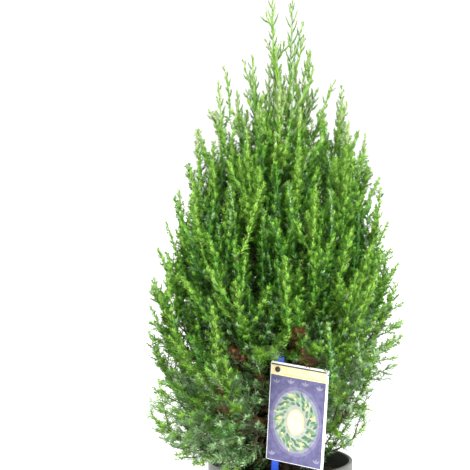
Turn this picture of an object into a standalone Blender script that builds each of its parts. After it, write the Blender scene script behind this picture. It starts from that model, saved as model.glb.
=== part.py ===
"""Upright dwarf juniper in a nursery pot, with its plant label.

Metres, +Z up. The origin is the centre of the pot's flat underside, and -Y is the front.
One trunk runs up through the crown. Each limb is one curve that leaves the trunk level and
turns upward: its inner stretch is a bare bough, and the rest is the stem of one foliage mass.
A mass has a core and sprays of needles that stand out of it. It keeps to the space that is
nearer to its own stem than to any other, so the masses never meet.
"""

import math
import random

import bmesh
import bpy
import numpy as np
from mathutils import Matrix, Vector

# Clearance between pieces that touch on the real plant
GAP = 0.0003
WELD_DISTANCE = 1e-6

# Pot: an injection-moulded container with a folded rim
POT_HEIGHT = 0.145
POT_RIM_RADIUS = 0.085
POT_LIP_WIDTH = 0.004
POT_LIP_THICKNESS = 0.0022
POT_SKIRT_HEIGHT = 0.016
POT_SKIRT_THICKNESS = 0.0016
POT_WALL = 0.0018
POT_FLOOR = 0.0025
POT_BASE_RADIUS = 0.0625
POT_FOOT_CHAMFER = 0.002
POT_STEPS = 32
DRAIN_HOLE_COUNT = 6
DRAIN_HOLE_RADIUS = 0.005
DRAIN_HOLE_CIRCLE = 0.045
DRAIN_HOLE_TURN = 0.37

# Potting mix
SOIL_LEVEL = 0.127

# Trunk
TRUNK_FOOT_RADIUS = 0.0072
TRUNK_FLARE = 0.0042
TRUNK_FLARE_HEIGHT = 0.009
TRUNK_TIP_RADIUS = 0.0016
TRUNK_TIP_HEIGHT = 0.585
TRUNK_LEAN = -0.0055
TRUNK_SWAY = 0.0018
TRUNK_POINTS = 14

# Limbs
BOUGH_FOOT_RADIUS = 0.0029
BOUGH_TIP_RADIUS = 0.0021
STEM_RADIUS = 0.0021
BOUGH_POINTS = 4
SEED = 41

# One row a tier: name, limbs, first azimuth and sweep in degrees, tip radius, tip height,
# foot height on the trunk, bare share of the limb, sprays in each mass, spray length, core
# radius, and how far the sprays turn up (below zero they droop)
TIERS = (
    ("upper", 4, 22.0, 360.0, 0.034, 0.616, 0.455, 0.0, 8, 0.054, 0.012, 0.62),
    ("shoulder", 5, -12.0, 360.0, 0.074, 0.590, 0.392, 0.0, 9, 0.074, 0.023, 0.58),
    ("high", 6, 14.0, 360.0, 0.101, 0.532, 0.330, 0.0, 9, 0.080, 0.027, 0.55),
    ("middle", 6, -16.0, 360.0, 0.125, 0.462, 0.268, 0.13, 9, 0.084, 0.030, 0.50),
    ("broad", 6, 8.0, 360.0, 0.145, 0.386, 0.214, 0.15, 9, 0.086, 0.033, 0.40),
    ("skirt", 5, 30.0, 360.0, 0.148, 0.292, 0.176, 0.16, 10, 0.084, 0.032, 0.20),
    ("hem", 4, -22.0, 288.0, 0.150, 0.206, 0.150, 0.0, 10, 0.078, 0.026, -0.04),
)

# Leading shoots: name, tip, foot height on the trunk (None grows on from the trunk's tip)
LEADERS = (
    ("leader_left", (-0.0100, 0.0000, 0.6820), None),
    ("leader_right", (0.0135, -0.0040, 0.6820), 0.500),
)
LEADER_SPRAYS = 7
LEADER_SPRAY_LENGTH = 0.036
LEADER_CORE_RADIUS = 0.0055
LEADER_TURN_UP = 0.7

# Chance in the growth
AZIMUTH_JITTER = 5.0
TIP_HEIGHT_JITTER = 0.010
TIP_RADIUS_JITTER = 0.004

# Crown outline: height, radius. It stands a little to the left of the pot's axis.
CROWN_PROFILE = (
    (0.145, 0.112), (0.170, 0.138), (0.200, 0.150), (0.250, 0.149), (0.320, 0.151), (0.380, 0.141),
    (0.440, 0.125), (0.500, 0.106), (0.560, 0.084), (0.610, 0.060), (0.650, 0.034), (0.690, 0.022),
)
CROWN_SHIFT = -0.005
CROWN_SHIFT_HEIGHT = 0.560

# The low right side is thinner: its share of the radius at the soil, and where that ends
THIN_SIDE_SHARE = 0.50
THIN_SIDE_TOP = 0.275
THIN_SIDE_AZIMUTH = -8.0
THIN_SIDE_SPREAD = 60.0

# Foliage mass
STEM_SAMPLES = 12
CORE_SIDES = 5
CORE_RINGS = ((0.0, 0.0), (0.06, 0.0), (0.20, 0.70), (0.42, 1.0), (0.62, 0.86), (0.80, 0.44))
CORE_TIP = 0.93
CORE_SHRINK = 0.86
CORE_TRIES = 14
APICAL_FOOT = 0.66
SPRAY_FIRST = 0.20
SPRAY_LAST = 0.80
SPRAY_ANGLE = 50.0
SPRAY_TRIES = (1.0, 0.86, 0.72, 0.58, 0.46)
SPRAY_WIDTH_SHARE = 0.044
SPRAY_LEAST_WIDTH = 0.0013
NEEDLE_REACH = 2.6
SPRAY_RING_HEIGHT = 0.34
NEEDLE_SWEEP = -0.02
TURN_PER_SPRAY = 0.7548776662
STEP_PER_SPRAY = 0.5698402910

# Clearances kept by foliage
CELL_GAP = 0.0010
LIMB_GAP = 0.0010
POT_GAP = 0.0018
LABEL_GAP = 0.0040
LABEL_VIEW_SLOPE = 0.15

# Plant label: a printed card pegged to a flat stake that leans forward
CARD_WIDTH = 0.068
CARD_HEIGHT = 0.115
CARD_THICKNESS = 0.0008
CARD_CORNER = 0.0015
CARD_CENTRE = (0.0187, -0.0880, 0.2123)
CARD_YAW = -22.5
CARD_LEAN = 7.9
CARD_ROLL = 6.5
STAKE_OFFSET = -0.0235
STAKE_WIDTH = 0.0080
STAKE_THICKNESS = 0.0020
STAKE_ABOVE_CARD = 0.006
STAKE_FOOT_HEIGHT = 0.085
STAKE_POINT_WIDTH = 0.003
PEG_OFFSET = -0.0255
PEG_BELOW_TOP = 0.0085
PEG_RADIUS = 0.0016
PEG_HEAD_RADIUS = 0.0027
PEG_HEAD_THICKNESS = 0.0008
CARD_HOLE_RADIUS = 0.0020
PEG_SIDES = 16


# Scene and materials

def clear_scene():
    for obj in list(bpy.data.objects):
        bpy.data.objects.remove(obj, do_unlink=True)


def new_collection(name):
    collection = bpy.data.collections.new(name)
    bpy.context.scene.collection.children.link(collection)
    return collection


def make_material(name, colour, roughness, metallic=0.0):
    material = bpy.data.materials.new(name)
    material.use_nodes = True
    shader = material.node_tree.nodes["Principled BSDF"]
    shader.inputs["Base Color"].default_value = (*colour, 1.0)
    shader.inputs["Roughness"].default_value = roughness
    shader.inputs["Metallic"].default_value = metallic
    return material


def link_object(name, data, collection, material=None):
    obj = bpy.data.objects.new(name, data)
    collection.objects.link(obj)
    if material is not None:
        data.materials.clear()
        data.materials.append(material)
    return obj


def evaluated_copy(obj):
    depsgraph = bpy.context.evaluated_depsgraph_get()
    return bpy.data.meshes.new_from_object(obj.evaluated_get(depsgraph), depsgraph=depsgraph)


def welded_copy(obj):
    """The object's evaluated shape as a new mesh, with loose caps welded."""
    mesh = evaluated_copy(obj)
    work = bmesh.new()
    work.from_mesh(mesh)
    bmesh.ops.remove_doubles(work, verts=work.verts, dist=WELD_DISTANCE)
    bmesh.ops.recalc_face_normals(work, faces=work.faces)
    work.to_mesh(mesh)
    work.free()
    return mesh


def face_shells(work):
    """Groups of faces joined across edges that have exactly two faces."""
    unseen = set(work.faces)
    shells = []
    while unseen:
        shell = set()
        queue = [unseen.pop()]
        while queue:
            face = queue.pop()
            shell.add(face)
            for edge in face.edges:
                if len(edge.link_faces) != 2:
                    continue
                for other in edge.link_faces:
                    if other in unseen:
                        unseen.discard(other)
                        queue.append(other)
        shells.append(shell)
    return shells


def drop_scraps(mesh):
    """Keeps the largest shell of faces, so that sealed hollows are filled and scraps go."""
    work = bmesh.new()
    work.from_mesh(mesh)
    bmesh.ops.triangulate(work, faces=work.faces[:], quad_method="BEAUTY", ngon_method="BEAUTY")
    largest = max(face_shells(work), key=len)
    scraps = [face for face in work.faces if face not in largest]
    bmesh.ops.delete(work, geom=scraps, context="FACES")
    bmesh.ops.recalc_face_normals(work, faces=work.faces)
    work.to_mesh(mesh)
    work.free()


def is_sound(mesh):
    """True for one closed shell that touches itself nowhere, measured on a welded copy."""
    work = bmesh.new()
    work.from_mesh(mesh)
    bmesh.ops.remove_doubles(work, verts=work.verts, dist=WELD_DISTANCE)
    closed = all(len(edge.link_faces) == 2 for edge in work.edges)
    single = len(face_shells(work)) == 1
    work.free()
    return closed and single


def freeze(obj, name, collection, material):
    """Replaces an object by a mesh object of its evaluated shape."""
    mesh = welded_copy(obj)
    matrix = obj.matrix_world.copy()
    bpy.data.objects.remove(obj, do_unlink=True)
    result = link_object(name, mesh, collection, material)
    result.matrix_world = matrix
    return result


def add_cutter(obj, cutters):
    for collection in list(obj.users_collection):
        collection.objects.unlink(obj)
    cutters.objects.link(obj)
    obj.hide_render = True
    obj.display_type = "WIRE"


def add_boolean(obj, cutter, operation):
    boolean = obj.modifiers.new(operation.lower(), "BOOLEAN")
    boolean.operation = operation
    boolean.object = cutter
    return boolean


# Pot and potting mix

def pot_inner_radius(height):
    share = (height - POT_FLOOR) / (POT_HEIGHT - POT_FLOOR)
    low = POT_BASE_RADIUS - POT_WALL
    high = POT_RIM_RADIUS - POT_LIP_WIDTH
    return low + (high - low) * share


def turned_object(name, profile, collection, material):
    """Turns an open profile of (radius, height) points round the Z axis."""
    mesh = bpy.data.meshes.new(name)
    vertices = [(radius, 0.0, height) for radius, height in profile]
    edges = [(i, i + 1) for i in range(len(profile) - 1)]
    mesh.from_pydata(vertices, edges, [])
    obj = link_object(name, mesh, collection, material)
    screw = obj.modifiers.new("turn", "SCREW")
    screw.steps = POT_STEPS
    screw.render_steps = POT_STEPS
    screw.use_merge_vertices = True
    screw.merge_threshold = 0.0001
    screw.use_normal_calculate = True
    return obj


def build_pot(collection, cutters, material):
    lip_inner = POT_RIM_RADIUS - POT_LIP_WIDTH
    lip_under = POT_HEIGHT - POT_LIP_THICKNESS
    wall_under_lip = pot_inner_radius(lip_under) + POT_WALL
    skirt_inner = POT_RIM_RADIUS - POT_SKIRT_THICKNESS
    round_off = 0.0006
    profile = [
        (0.0, POT_FLOOR),
        (pot_inner_radius(POT_FLOOR), POT_FLOOR),
        (lip_inner, POT_HEIGHT - round_off),
        (lip_inner + round_off, POT_HEIGHT),
        (POT_RIM_RADIUS - round_off, POT_HEIGHT),
        (POT_RIM_RADIUS, POT_HEIGHT - round_off),
        (POT_RIM_RADIUS, POT_HEIGHT - POT_SKIRT_HEIGHT),
        (skirt_inner, POT_HEIGHT - POT_SKIRT_HEIGHT),
        (skirt_inner, lip_under),
        (wall_under_lip, lip_under),
        (POT_BASE_RADIUS, POT_FOOT_CHAMFER),
        (POT_BASE_RADIUS - POT_FOOT_CHAMFER, 0.0),
        (0.0, 0.0),
    ]
    pot = turned_object("pot_blank", profile, collection, material)
    pot = freeze(pot, "pot", collection, material)
    for index in range(DRAIN_HOLE_COUNT):
        angle = math.tau * (index + DRAIN_HOLE_TURN) / DRAIN_HOLE_COUNT
        place = (DRAIN_HOLE_CIRCLE * math.cos(angle), DRAIN_HOLE_CIRCLE * math.sin(angle), 0.0)
        bpy.ops.mesh.primitive_cylinder_add(
            vertices=8, radius=DRAIN_HOLE_RADIUS, depth=4.0 * POT_FLOOR, location=place)
        cutter = bpy.context.object
        cutter.name = f"drain_hole_{index + 1}"
        add_cutter(cutter, cutters)
        add_boolean(pot, cutter, "DIFFERENCE")
    pot.data.shade_smooth()
    pot.data.set_sharp_from_angle(angle=math.radians(35.0))
    return pot


def build_soil(collection, cutters, material, label_frame):
    floor = POT_FLOOR + GAP
    profile = [
        (0.0, SOIL_LEVEL),
        (pot_inner_radius(SOIL_LEVEL) - GAP, SOIL_LEVEL),
        (pot_inner_radius(floor) - GAP, floor),
        (0.0, floor),
    ]
    soil = turned_object("soil_blank", profile, collection, material)
    soil = freeze(soil, "soil", collection, material)
    slot = stake_blade("stake_slot", cutters, None, label_frame, GAP)
    slot.hide_render = True
    slot.display_type = "WIRE"
    add_boolean(soil, slot, "DIFFERENCE")
    return soil


# Plant label

def label_matrix():
    turn = Matrix.Rotation(math.radians(CARD_YAW), 4, "Z")
    lean = Matrix.Rotation(math.radians(CARD_LEAN), 4, "X")
    roll = Matrix.Rotation(math.radians(CARD_ROLL), 4, "Y")
    return Matrix.Translation(CARD_CENTRE) @ turn @ lean @ roll


def stake_blade(name, collection, material, label_frame, margin):
    """The flat stake behind the card, in the card's frame: X across, -Y to the front, Z up."""
    top = 0.5 * CARD_HEIGHT + STAKE_ABOVE_CARD
    foot = (STAKE_FOOT_HEIGHT - CARD_CENTRE[2]) / math.cos(math.radians(CARD_LEAN))
    shoulder = foot + 0.015
    half = 0.5 * STAKE_WIDTH + margin
    point = 0.5 * STAKE_POINT_WIDTH + margin
    front = 0.5 * CARD_THICKNESS + GAP - margin
    back = 0.5 * CARD_THICKNESS + GAP + STAKE_THICKNESS + margin
    outline = [
        (-point, foot - margin), (point, foot - margin), (half, shoulder),
        (half, top), (-half, top), (-half, shoulder),
    ]
    curve = bpy.data.curves.new(name, "CURVE")
    curve.dimensions = "2D"
    curve.fill_mode = "BOTH"
    curve.extrude = 0.5 * (back - front)
    spline = curve.splines.new("POLY")
    spline.points.add(len(outline) - 1)
    for point_ref, (across, height) in zip(spline.points, outline):
        point_ref.co = (across, height, 0.0, 1.0)
    spline.use_cyclic_u = True
    flat = link_object(f"{name}_outline", curve, collection)
    blade = freeze(flat, name, collection, material)
    stand = Matrix.Rotation(math.radians(90.0), 4, "X")
    place = Matrix.Translation((STAKE_OFFSET, 0.5 * (front + back), 0.0))
    blade.data.transform(place @ stand)
    blade.matrix_world = label_frame
    return blade


def peg_cylinder(name, radius, front, back, collection):
    """A short cylinder along the card's thickness, at the peg's place."""
    bpy.ops.mesh.primitive_cylinder_add(vertices=PEG_SIDES, radius=radius, depth=back - front)
    peg = bpy.context.object
    peg.name = name
    height = 0.5 * CARD_HEIGHT - PEG_BELOW_TOP
    place = Matrix.Translation((PEG_OFFSET, 0.5 * (front + back), height))
    peg.data.transform(place @ Matrix.Rotation(math.radians(90.0), 4, "X"))
    add_cutter(peg, collection)
    return peg


def build_label(collection, cutters, card_material, stake_material, label_frame):
    stake = stake_blade("label_stake", collection, stake_material, label_frame, 0.0)
    card_front = -0.5 * CARD_THICKNESS
    inside_stake = 0.5 * CARD_THICKNESS + GAP + 0.5 * STAKE_THICKNESS
    head_back = card_front - GAP
    shank = peg_cylinder("peg_shank", PEG_RADIUS, head_back - 0.0002, inside_stake, cutters)
    head = peg_cylinder(
        "peg_head", PEG_HEAD_RADIUS, head_back - PEG_HEAD_THICKNESS, head_back, cutters)
    for piece in (shank, head):
        piece.matrix_world = label_frame
        add_boolean(stake, piece, "UNION")

    bpy.ops.mesh.primitive_cube_add(size=1.0)
    card = bpy.context.object
    for holder in list(card.users_collection):
        holder.objects.unlink(card)
    collection.objects.link(card)
    card.name = "label_card"
    card.data.transform(Matrix.Diagonal((CARD_WIDTH, CARD_THICKNESS, CARD_HEIGHT, 1.0)))
    work = bmesh.new()
    work.from_mesh(card.data)
    across = [e for e in work.edges if abs(e.verts[0].co.y - e.verts[1].co.y) > CARD_THICKNESS / 2]
    bmesh.ops.bevel(
        work, geom=across, offset=CARD_CORNER, segments=3, affect="EDGES", profile=0.5)
    work.to_mesh(card.data)
    work.free()
    card.data.materials.clear()
    card.data.materials.append(card_material)
    card.matrix_world = label_frame
    hole = peg_cylinder("card_hole", CARD_HOLE_RADIUS, -0.003, 0.003, cutters)
    hole.matrix_world = label_frame
    add_boolean(card, hole, "DIFFERENCE")
    return stake, card


# Trunk and limb curves

def trunk_share(height):
    return min(max((height - SOIL_LEVEL) / (TRUNK_TIP_HEIGHT - SOIL_LEVEL), 0.0), 1.0)


def trunk_point(height):
    share = trunk_share(height)
    lean = TRUNK_LEAN * share ** 1.4
    sway = TRUNK_SWAY * math.sin(math.pi * 1.7 * share)
    return np.array((lean + sway, 0.6 * sway, height))


def trunk_radius(height):
    share = trunk_share(height)
    plain = TRUNK_FOOT_RADIUS + (TRUNK_TIP_RADIUS - TRUNK_FOOT_RADIUS) * share
    return plain + TRUNK_FLARE * math.exp(-(height - SOIL_LEVEL) / TRUNK_FLARE_HEIGHT)


def trunk_heights():
    """Heights of the trunk's rings, close together in the flare."""
    foot = SOIL_LEVEL + GAP
    shares = [(i / (TRUNK_POINTS - 1)) ** 1.8 for i in range(TRUNK_POINTS)]
    return [foot + (TRUNK_TIP_HEIGHT - foot) * share for share in shares]


def bezier(controls, shares):
    p0, p1, p2, p3 = (np.asarray(p, dtype=float) for p in controls)
    t = np.asarray(shares, dtype=float)[:, None]
    s = 1.0 - t
    return s ** 3 * p0 + 3 * s * s * t * p1 + 3 * s * t * t * p2 + t ** 3 * p3


def tapered_tube(name, points, radii, sides, collection, material):
    curve = bpy.data.curves.new(name, "CURVE")
    curve.dimensions = "3D"
    curve.bevel_depth = 1.0
    curve.bevel_resolution = (sides - 4) // 2
    curve.use_fill_caps = True
    curve.twist_mode = "MINIMUM"
    spline = curve.splines.new("POLY")
    spline.points.add(len(points) - 1)
    for point_ref, place, radius in zip(spline.points, points, radii):
        point_ref.co = (*place, 1.0)
        point_ref.radius = radius
    tube = link_object(f"{name}_curve", curve, collection)
    return freeze(tube, name, collection, material)


def build_trunk(collection, material):
    heights = trunk_heights()
    points = [trunk_point(height) for height in heights]
    points[1][:2] = points[0][:2]
    radii = [trunk_radius(height) for height in heights]
    trunk = tapered_tube("trunk", points, radii, 10, collection, material)
    trunk.data.shade_smooth()
    trunk.data.set_sharp_from_angle(angle=math.radians(50.0))
    return trunk


def tier_limbs():
    """One record for each limb: its curve, where its mass begins, and its mass's sizes."""
    limbs = []
    for tier in TIERS:
        name, count, first, sweep, tip_radius, tip_height, foot_height = tier[:7]
        bare, sprays, length, core, up = tier[7:]
        for index in range(count):
            chance = random.Random(f"{SEED} {name} {index}")
            azimuth = math.radians(
                first + sweep * index / count + chance.uniform(-AZIMUTH_JITTER, AZIMUTH_JITTER))
            reach = tip_radius + chance.uniform(-TIP_RADIUS_JITTER, TIP_RADIUS_JITTER)
            top = tip_height + chance.uniform(-TIP_HEIGHT_JITTER, TIP_HEIGHT_JITTER)
            foot = foot_height + chance.uniform(-0.4, 0.4) * TIP_HEIGHT_JITTER
            drift = azimuth + math.radians(chance.uniform(-4.0, 4.0))
            reach *= thin_side_share(azimuth, top)
            out = np.array((math.cos(azimuth), math.sin(azimuth), 0.0))
            out_tip = np.array((math.cos(drift), math.sin(drift), 0.0))
            start = trunk_point(foot) + out * (trunk_radius(foot) + GAP)
            rise = top - foot
            shift = np.array((crown_shift(top), 0.0, 0.0))
            controls = (
                start,
                start + out * 0.42 * reach,
                shift + out_tip * 0.93 * reach + np.array((0.0, 0.0, foot + 0.42 * rise)),
                shift + out_tip * reach + np.array((0.0, 0.0, top)),
            )
            limbs.append({
                "name": f"{name}_{index + 1}", "controls": controls, "bare": bare, "out": out,
                "level": np.array((-out[1], out[0], 0.0)),
                "sprays": sprays, "spray_length": length, "core_radius": core, "turn_up": up,
            })
    return limbs


def leader_limbs():
    limbs = []
    for name, tip, foot_height in LEADERS:
        tip = np.array(tip)
        if foot_height is None:
            start = trunk_point(TRUNK_TIP_HEIGHT) + np.array((0.0, 0.0, GAP))
            out = np.array((0.0, 0.0, 1.0))
            first = start + np.array((0.0, 0.0, 0.3 * (tip[2] - start[2])))
        else:
            out = np.array((math.copysign(1.0, tip[0]), 0.0, 0.0))
            start = trunk_point(foot_height) + out * (trunk_radius(foot_height) + GAP)
            first = start + out * 0.010
        third = tip - np.array((0.05 * tip[0], 0.0, 0.45 * (tip[2] - start[2])))
        limbs.append({
            "name": name, "controls": (start, first, third, tip), "bare": 0.0, "out": out,
            "level": np.array((0.0, 1.0, 0.0)),
            "sprays": LEADER_SPRAYS, "spray_length": LEADER_SPRAY_LENGTH,
            "core_radius": LEADER_CORE_RADIUS, "turn_up": LEADER_TURN_UP,
        })
    return limbs


def thin_side_share(azimuth, height):
    """The low right side's share of the crown's radius, 1 away from that side."""
    away = abs(math.degrees(math.remainder(azimuth - math.radians(THIN_SIDE_AZIMUTH), math.tau)))
    near = min(1.0, 1.7 * max(0.0, 1.0 - away / THIN_SIDE_SPREAD))
    low = min(max((THIN_SIDE_TOP - height) / (THIN_SIDE_TOP - SOIL_LEVEL), 0.0), 1.0)
    return 1.0 - (1.0 - THIN_SIDE_SHARE) * near * low


def crown_shift(height):
    return CROWN_SHIFT * min(1.0, max(0.0, (CROWN_SHIFT_HEIGHT - height) / 0.1))


def limb_stem(limb):
    """Samples of the mass's stem, which starts one gap beyond the bough's tip."""
    start = limb["bare"]
    shares = np.linspace(start, 1.0, STEM_SAMPLES)
    points = bezier(limb["controls"], shares)
    if start > 0.0:
        ahead = points[1] - points[0]
        points[0] += ahead / np.linalg.norm(ahead) * GAP
    return points


def build_boughs(limbs, collection, material):
    boughs = []
    for limb in limbs:
        if limb["bare"] <= 0.0:
            continue
        shares = np.linspace(0.0, limb["bare"], BOUGH_POINTS)
        points = list(bezier(limb["controls"], shares))
        level_start = points[0] + limb["out"] * 0.0012
        points.insert(1, level_start)
        radii = np.linspace(BOUGH_FOOT_RADIUS, BOUGH_TIP_RADIUS, len(points))
        bough = tapered_tube(f"bough_{limb['name']}", points, radii, 6, collection, material)
        bough.data.shade_smooth()
        bough.data.set_sharp_from_angle(angle=math.radians(50.0))
        limb["bough_points"] = np.array(points)
        limb["bough_radii"] = radii
        boughs.append(bough)
    return boughs


# Space that each mass keeps to

def segment_distances(points, starts, ends):
    """Distance from each point to each segment, and where along the segment it is nearest."""
    along = ends - starts
    length_squared = np.maximum((along ** 2).sum(axis=1), 1e-12)
    offset = points[:, None, :] - starts[None, :, :]
    share = np.clip((offset * along[None]).sum(axis=2) / length_squared[None], 0.0, 1.0)
    nearest = offset - share[:, :, None] * along[None]
    return np.sqrt((nearest ** 2).sum(axis=2)), share


class Space:
    """Answers whether points lie in a mass's own space and clear of everything else."""

    def __init__(self, limbs, label_frame):
        stems = [limb_stem(limb) for limb in limbs]
        self.starts = np.concatenate([stem[:-1] for stem in stems])
        self.ends = np.concatenate([stem[1:] for stem in stems])
        self.firsts = np.arange(len(stems)) * (STEM_SAMPLES - 1)
        wood = [(np.array([trunk_point(h) for h in trunk_heights()]),
                 np.array([trunk_radius(h) for h in trunk_heights()]))]
        wood += [(limb["bough_points"], limb["bough_radii"]) for limb in limbs if limb["bare"] > 0.0]
        self.wood_starts = np.concatenate([points[:-1] for points, _ in wood])
        self.wood_ends = np.concatenate([points[1:] for points, _ in wood])
        self.wood_radii = np.concatenate([np.maximum(radii[:-1], radii[1:]) for _, radii in wood])
        inverse = np.array(label_frame.inverted())
        self.label_turn = inverse[:3, :3]
        self.label_move = inverse[:3, 3]

    def own(self, points, mass_index, gap):
        distances, _ = segment_distances(points, self.starts, self.ends)
        nearest = np.minimum.reduceat(distances, self.firsts, axis=1)
        own = nearest[:, mass_index].copy()
        nearest[:, mass_index] = 1.0
        return nearest.min(axis=1) - own >= 2.0 * gap

    def clear_of_wood(self, points):
        distances, _ = segment_distances(points, self.wood_starts, self.wood_ends)
        return (distances - self.wood_radii[None]).min(axis=1) >= LIMB_GAP

    def clear_of_pot(self, points):
        radius = np.hypot(points[:, 0], points[:, 1])
        inside = radius < POT_RIM_RADIUS - POT_LIP_WIDTH - POT_GAP
        floor = np.where(inside, SOIL_LEVEL + POT_GAP, POT_HEIGHT + POT_GAP)
        return points[:, 2] >= floor

    def clear_of_label(self, points):
        local = points @ self.label_turn.T + self.label_move
        behind = 0.5 * CARD_THICKNESS + GAP + STAKE_THICKNESS + LABEL_GAP
        ahead = np.maximum(-local[:, 1], 0.0)
        across = np.abs(local[:, 0]) < 0.5 * CARD_WIDTH + LABEL_GAP
        height = local[:, 2] < 0.5 * CARD_HEIGHT + STAKE_ABOVE_CARD + LABEL_GAP + LABEL_VIEW_SLOPE * ahead
        return ~(across & height & (local[:, 1] < behind))

    def inside_crown(self, points):
        heights, radii = (np.array(column) for column in zip(*CROWN_PROFILE))
        limit = np.interp(points[:, 2], heights, radii)
        shift = np.array([crown_shift(height) for height in points[:, 2]])
        across = points[:, 0] - shift
        azimuth = np.arctan2(points[:, 1], across)
        shares = [thin_side_share(a, h) for a, h in zip(azimuth, points[:, 2])]
        return np.hypot(across, points[:, 1]) <= limit * np.array(shares)

    def free(self, points, mass_index, gap):
        checks = (
            self.clear_of_pot(points), self.clear_of_label(points), self.inside_crown(points),
            self.clear_of_wood(points), self.own(points, mass_index, gap),
        )
        return np.logical_and.reduce(checks)


# Foliage

def across_frame(direction, level):
    """Two unit vectors square to a direction, the first one nearest to the given level one."""
    direction = direction / np.linalg.norm(direction)
    side = level - direction * np.dot(level, direction)
    side /= np.linalg.norm(side)
    return side, np.cross(direction, side)


def face_samples(corners):
    """Points spread over triangles, from an array of (faces, 3, 3) corners."""
    weights = np.array((
        (1.0, 0.0, 0.0), (0.0, 1.0, 0.0), (0.0, 0.0, 1.0),
        (0.5, 0.5, 0.0), (0.5, 0.0, 0.5), (0.0, 0.5, 0.5), (1 / 3, 1 / 3, 1 / 3),
        (0.75, 0.25, 0.0), (0.25, 0.75, 0.0), (0.75, 0.0, 0.25),
        (0.25, 0.0, 0.75), (0.0, 0.75, 0.25), (0.0, 0.25, 0.75),
    ))
    return np.einsum("wk,fkc->fwc", weights, corners)


def loft_faces(rings, sides):
    """Faces of a closed loft: ring vertices in order, then one vertex for the tip."""
    faces = [tuple(reversed(range(sides)))]
    for ring in range(rings - 1):
        low = ring * sides
        for side in range(sides):
            after = (side + 1) % sides
            faces.append((low + side, low + after, low + sides + after, low + sides + side))
    low = (rings - 1) * sides
    tip = rings * sides
    faces += [(low + side, low + (side + 1) % sides, tip) for side in range(sides)]
    return faces


def triangles_of(faces):
    return np.array([(face[0], face[i], face[i + 1])
                     for face in faces for i in range(1, len(face) - 1)])


def stem_at(limb, share):
    """Place and direction on a mass's stem at a share of its length."""
    start = limb["bare"]
    at = start + (1.0 - start) * share
    before, here, after = bezier(limb["controls"], (max(at - 0.01, 0.0), at, min(at + 0.01, 1.0)))
    direction = after - before
    return here, direction / np.linalg.norm(direction)


def core_mesh(limb, mass_index, space):
    """Loft round the stem: a bare foot, then a body that shrinks where it lacks room."""
    rings = len(CORE_RINGS)
    centres = []
    arms = []
    wanted = []
    for ring, (share, width) in enumerate(CORE_RINGS):
        centre, direction = stem_at(limb, share)
        if ring == 0:
            centre = limb_stem(limb)[0]
            if limb["bare"] <= 0.0:
                direction = limb["out"]
        side, up = across_frame(direction, limb["level"])
        turn = math.tau * (np.arange(CORE_SIDES) + 0.5 * (ring % 2)) / CORE_SIDES
        centres.append(centre)
        arms.append(np.cos(turn)[:, None] * side + np.sin(turn)[:, None] * up)
        wanted.append(np.full(CORE_SIDES, max(STEM_RADIUS, width * limb["core_radius"])))
    centres = np.array(centres)
    arms = np.array(arms)
    wanted = np.array(wanted)
    tip = stem_at(limb, CORE_TIP)[0]
    faces = loft_faces(rings, CORE_SIDES)
    triangles = triangles_of(faces)
    body = slice(2, rings)
    for _ in range(CORE_TRIES):
        places = (centres[:, None, :] + arms * wanted[:, :, None]).reshape(-1, 3)
        places = np.vstack((places, tip))
        samples = face_samples(places[triangles])
        flat = samples.reshape(-1, 3)
        blocked = ~space.free(flat, mass_index, CELL_GAP).reshape(len(triangles), -1)
        bad_corners = np.zeros(len(places), dtype=bool)
        bad_corners[triangles[blocked.any(axis=1)].ravel()] = True
        bad_rings = bad_corners[:-1].reshape(rings, CORE_SIDES)
        if not bad_rings[body].any():
            break
        shrunk = np.maximum(wanted * CORE_SHRINK, STEM_RADIUS)
        wanted[body] = np.where(bad_rings[body], shrunk[body], wanted[body])
    mesh = bpy.data.meshes.new(f"core_{limb['name']}")
    mesh.from_pydata([tuple(place) for place in places], [], faces)
    return mesh


def spray_template():
    """A slim three-sided spindle along Z, one unit long and wide, with needles drawn out."""
    work = bmesh.new()
    bmesh.ops.create_cone(
        work, cap_ends=True, cap_tris=True, segments=3, radius1=1.0, radius2=0.0, depth=1.0,
        matrix=Matrix.Translation((0.0, 0.0, 0.5)))
    bmesh.ops.bisect_plane(
        work, geom=work.verts[:] + work.edges[:] + work.faces[:],
        plane_co=(0.0, 0.0, SPRAY_RING_HEIGHT), plane_no=(0.0, 0.0, 1.0))
    bmesh.ops.remove_doubles(work, verts=work.verts, dist=WELD_DISTANCE)
    walls = [face for face in work.faces if face.calc_center_median().z > SPRAY_RING_HEIGHT]
    drawn = bmesh.ops.poke(work, faces=walls)["verts"]
    for vertex in drawn:
        out = Vector((vertex.co.x, vertex.co.y, 0.0)).normalized() * NEEDLE_REACH
        vertex.co = Vector((out.x, out.y, vertex.co.z + NEEDLE_SWEEP))
    bmesh.ops.triangulate(work, faces=work.faces[:])
    mesh = bpy.data.meshes.new("spray_template")
    work.to_mesh(mesh)
    work.free()
    return mesh


def spray_line(limb, index):
    """Foot, middle and tip of a spray, and its thickness, by the seeded rule."""
    chance = random.Random(f"{SEED} {limb['name']} spray {index}")
    share = SPRAY_FIRST + (SPRAY_LAST - SPRAY_FIRST) * ((0.35 + index * TURN_PER_SPRAY) % 1.0)
    foot, direction = stem_at(limb, share)
    side, up = across_frame(direction, limb["level"])
    turn = math.tau * ((0.1 + index * STEP_PER_SPRAY) % 1.0) + chance.uniform(-0.3, 0.3)
    angle = math.radians(SPRAY_ANGLE * (1.0 - 0.35 * share) + chance.uniform(-7.0, 7.0))
    outward = math.cos(turn) * side + math.sin(turn) * up
    heading = math.cos(angle) * direction + math.sin(angle) * outward
    length = limb["spray_length"] * (1.0 - 0.30 * share) * chance.uniform(0.88, 1.12)
    rise = np.array((0.0, 0.0, limb["turn_up"]))
    return foot, heading, heading * (1.0 - abs(limb["turn_up"])) + rise, length


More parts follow.
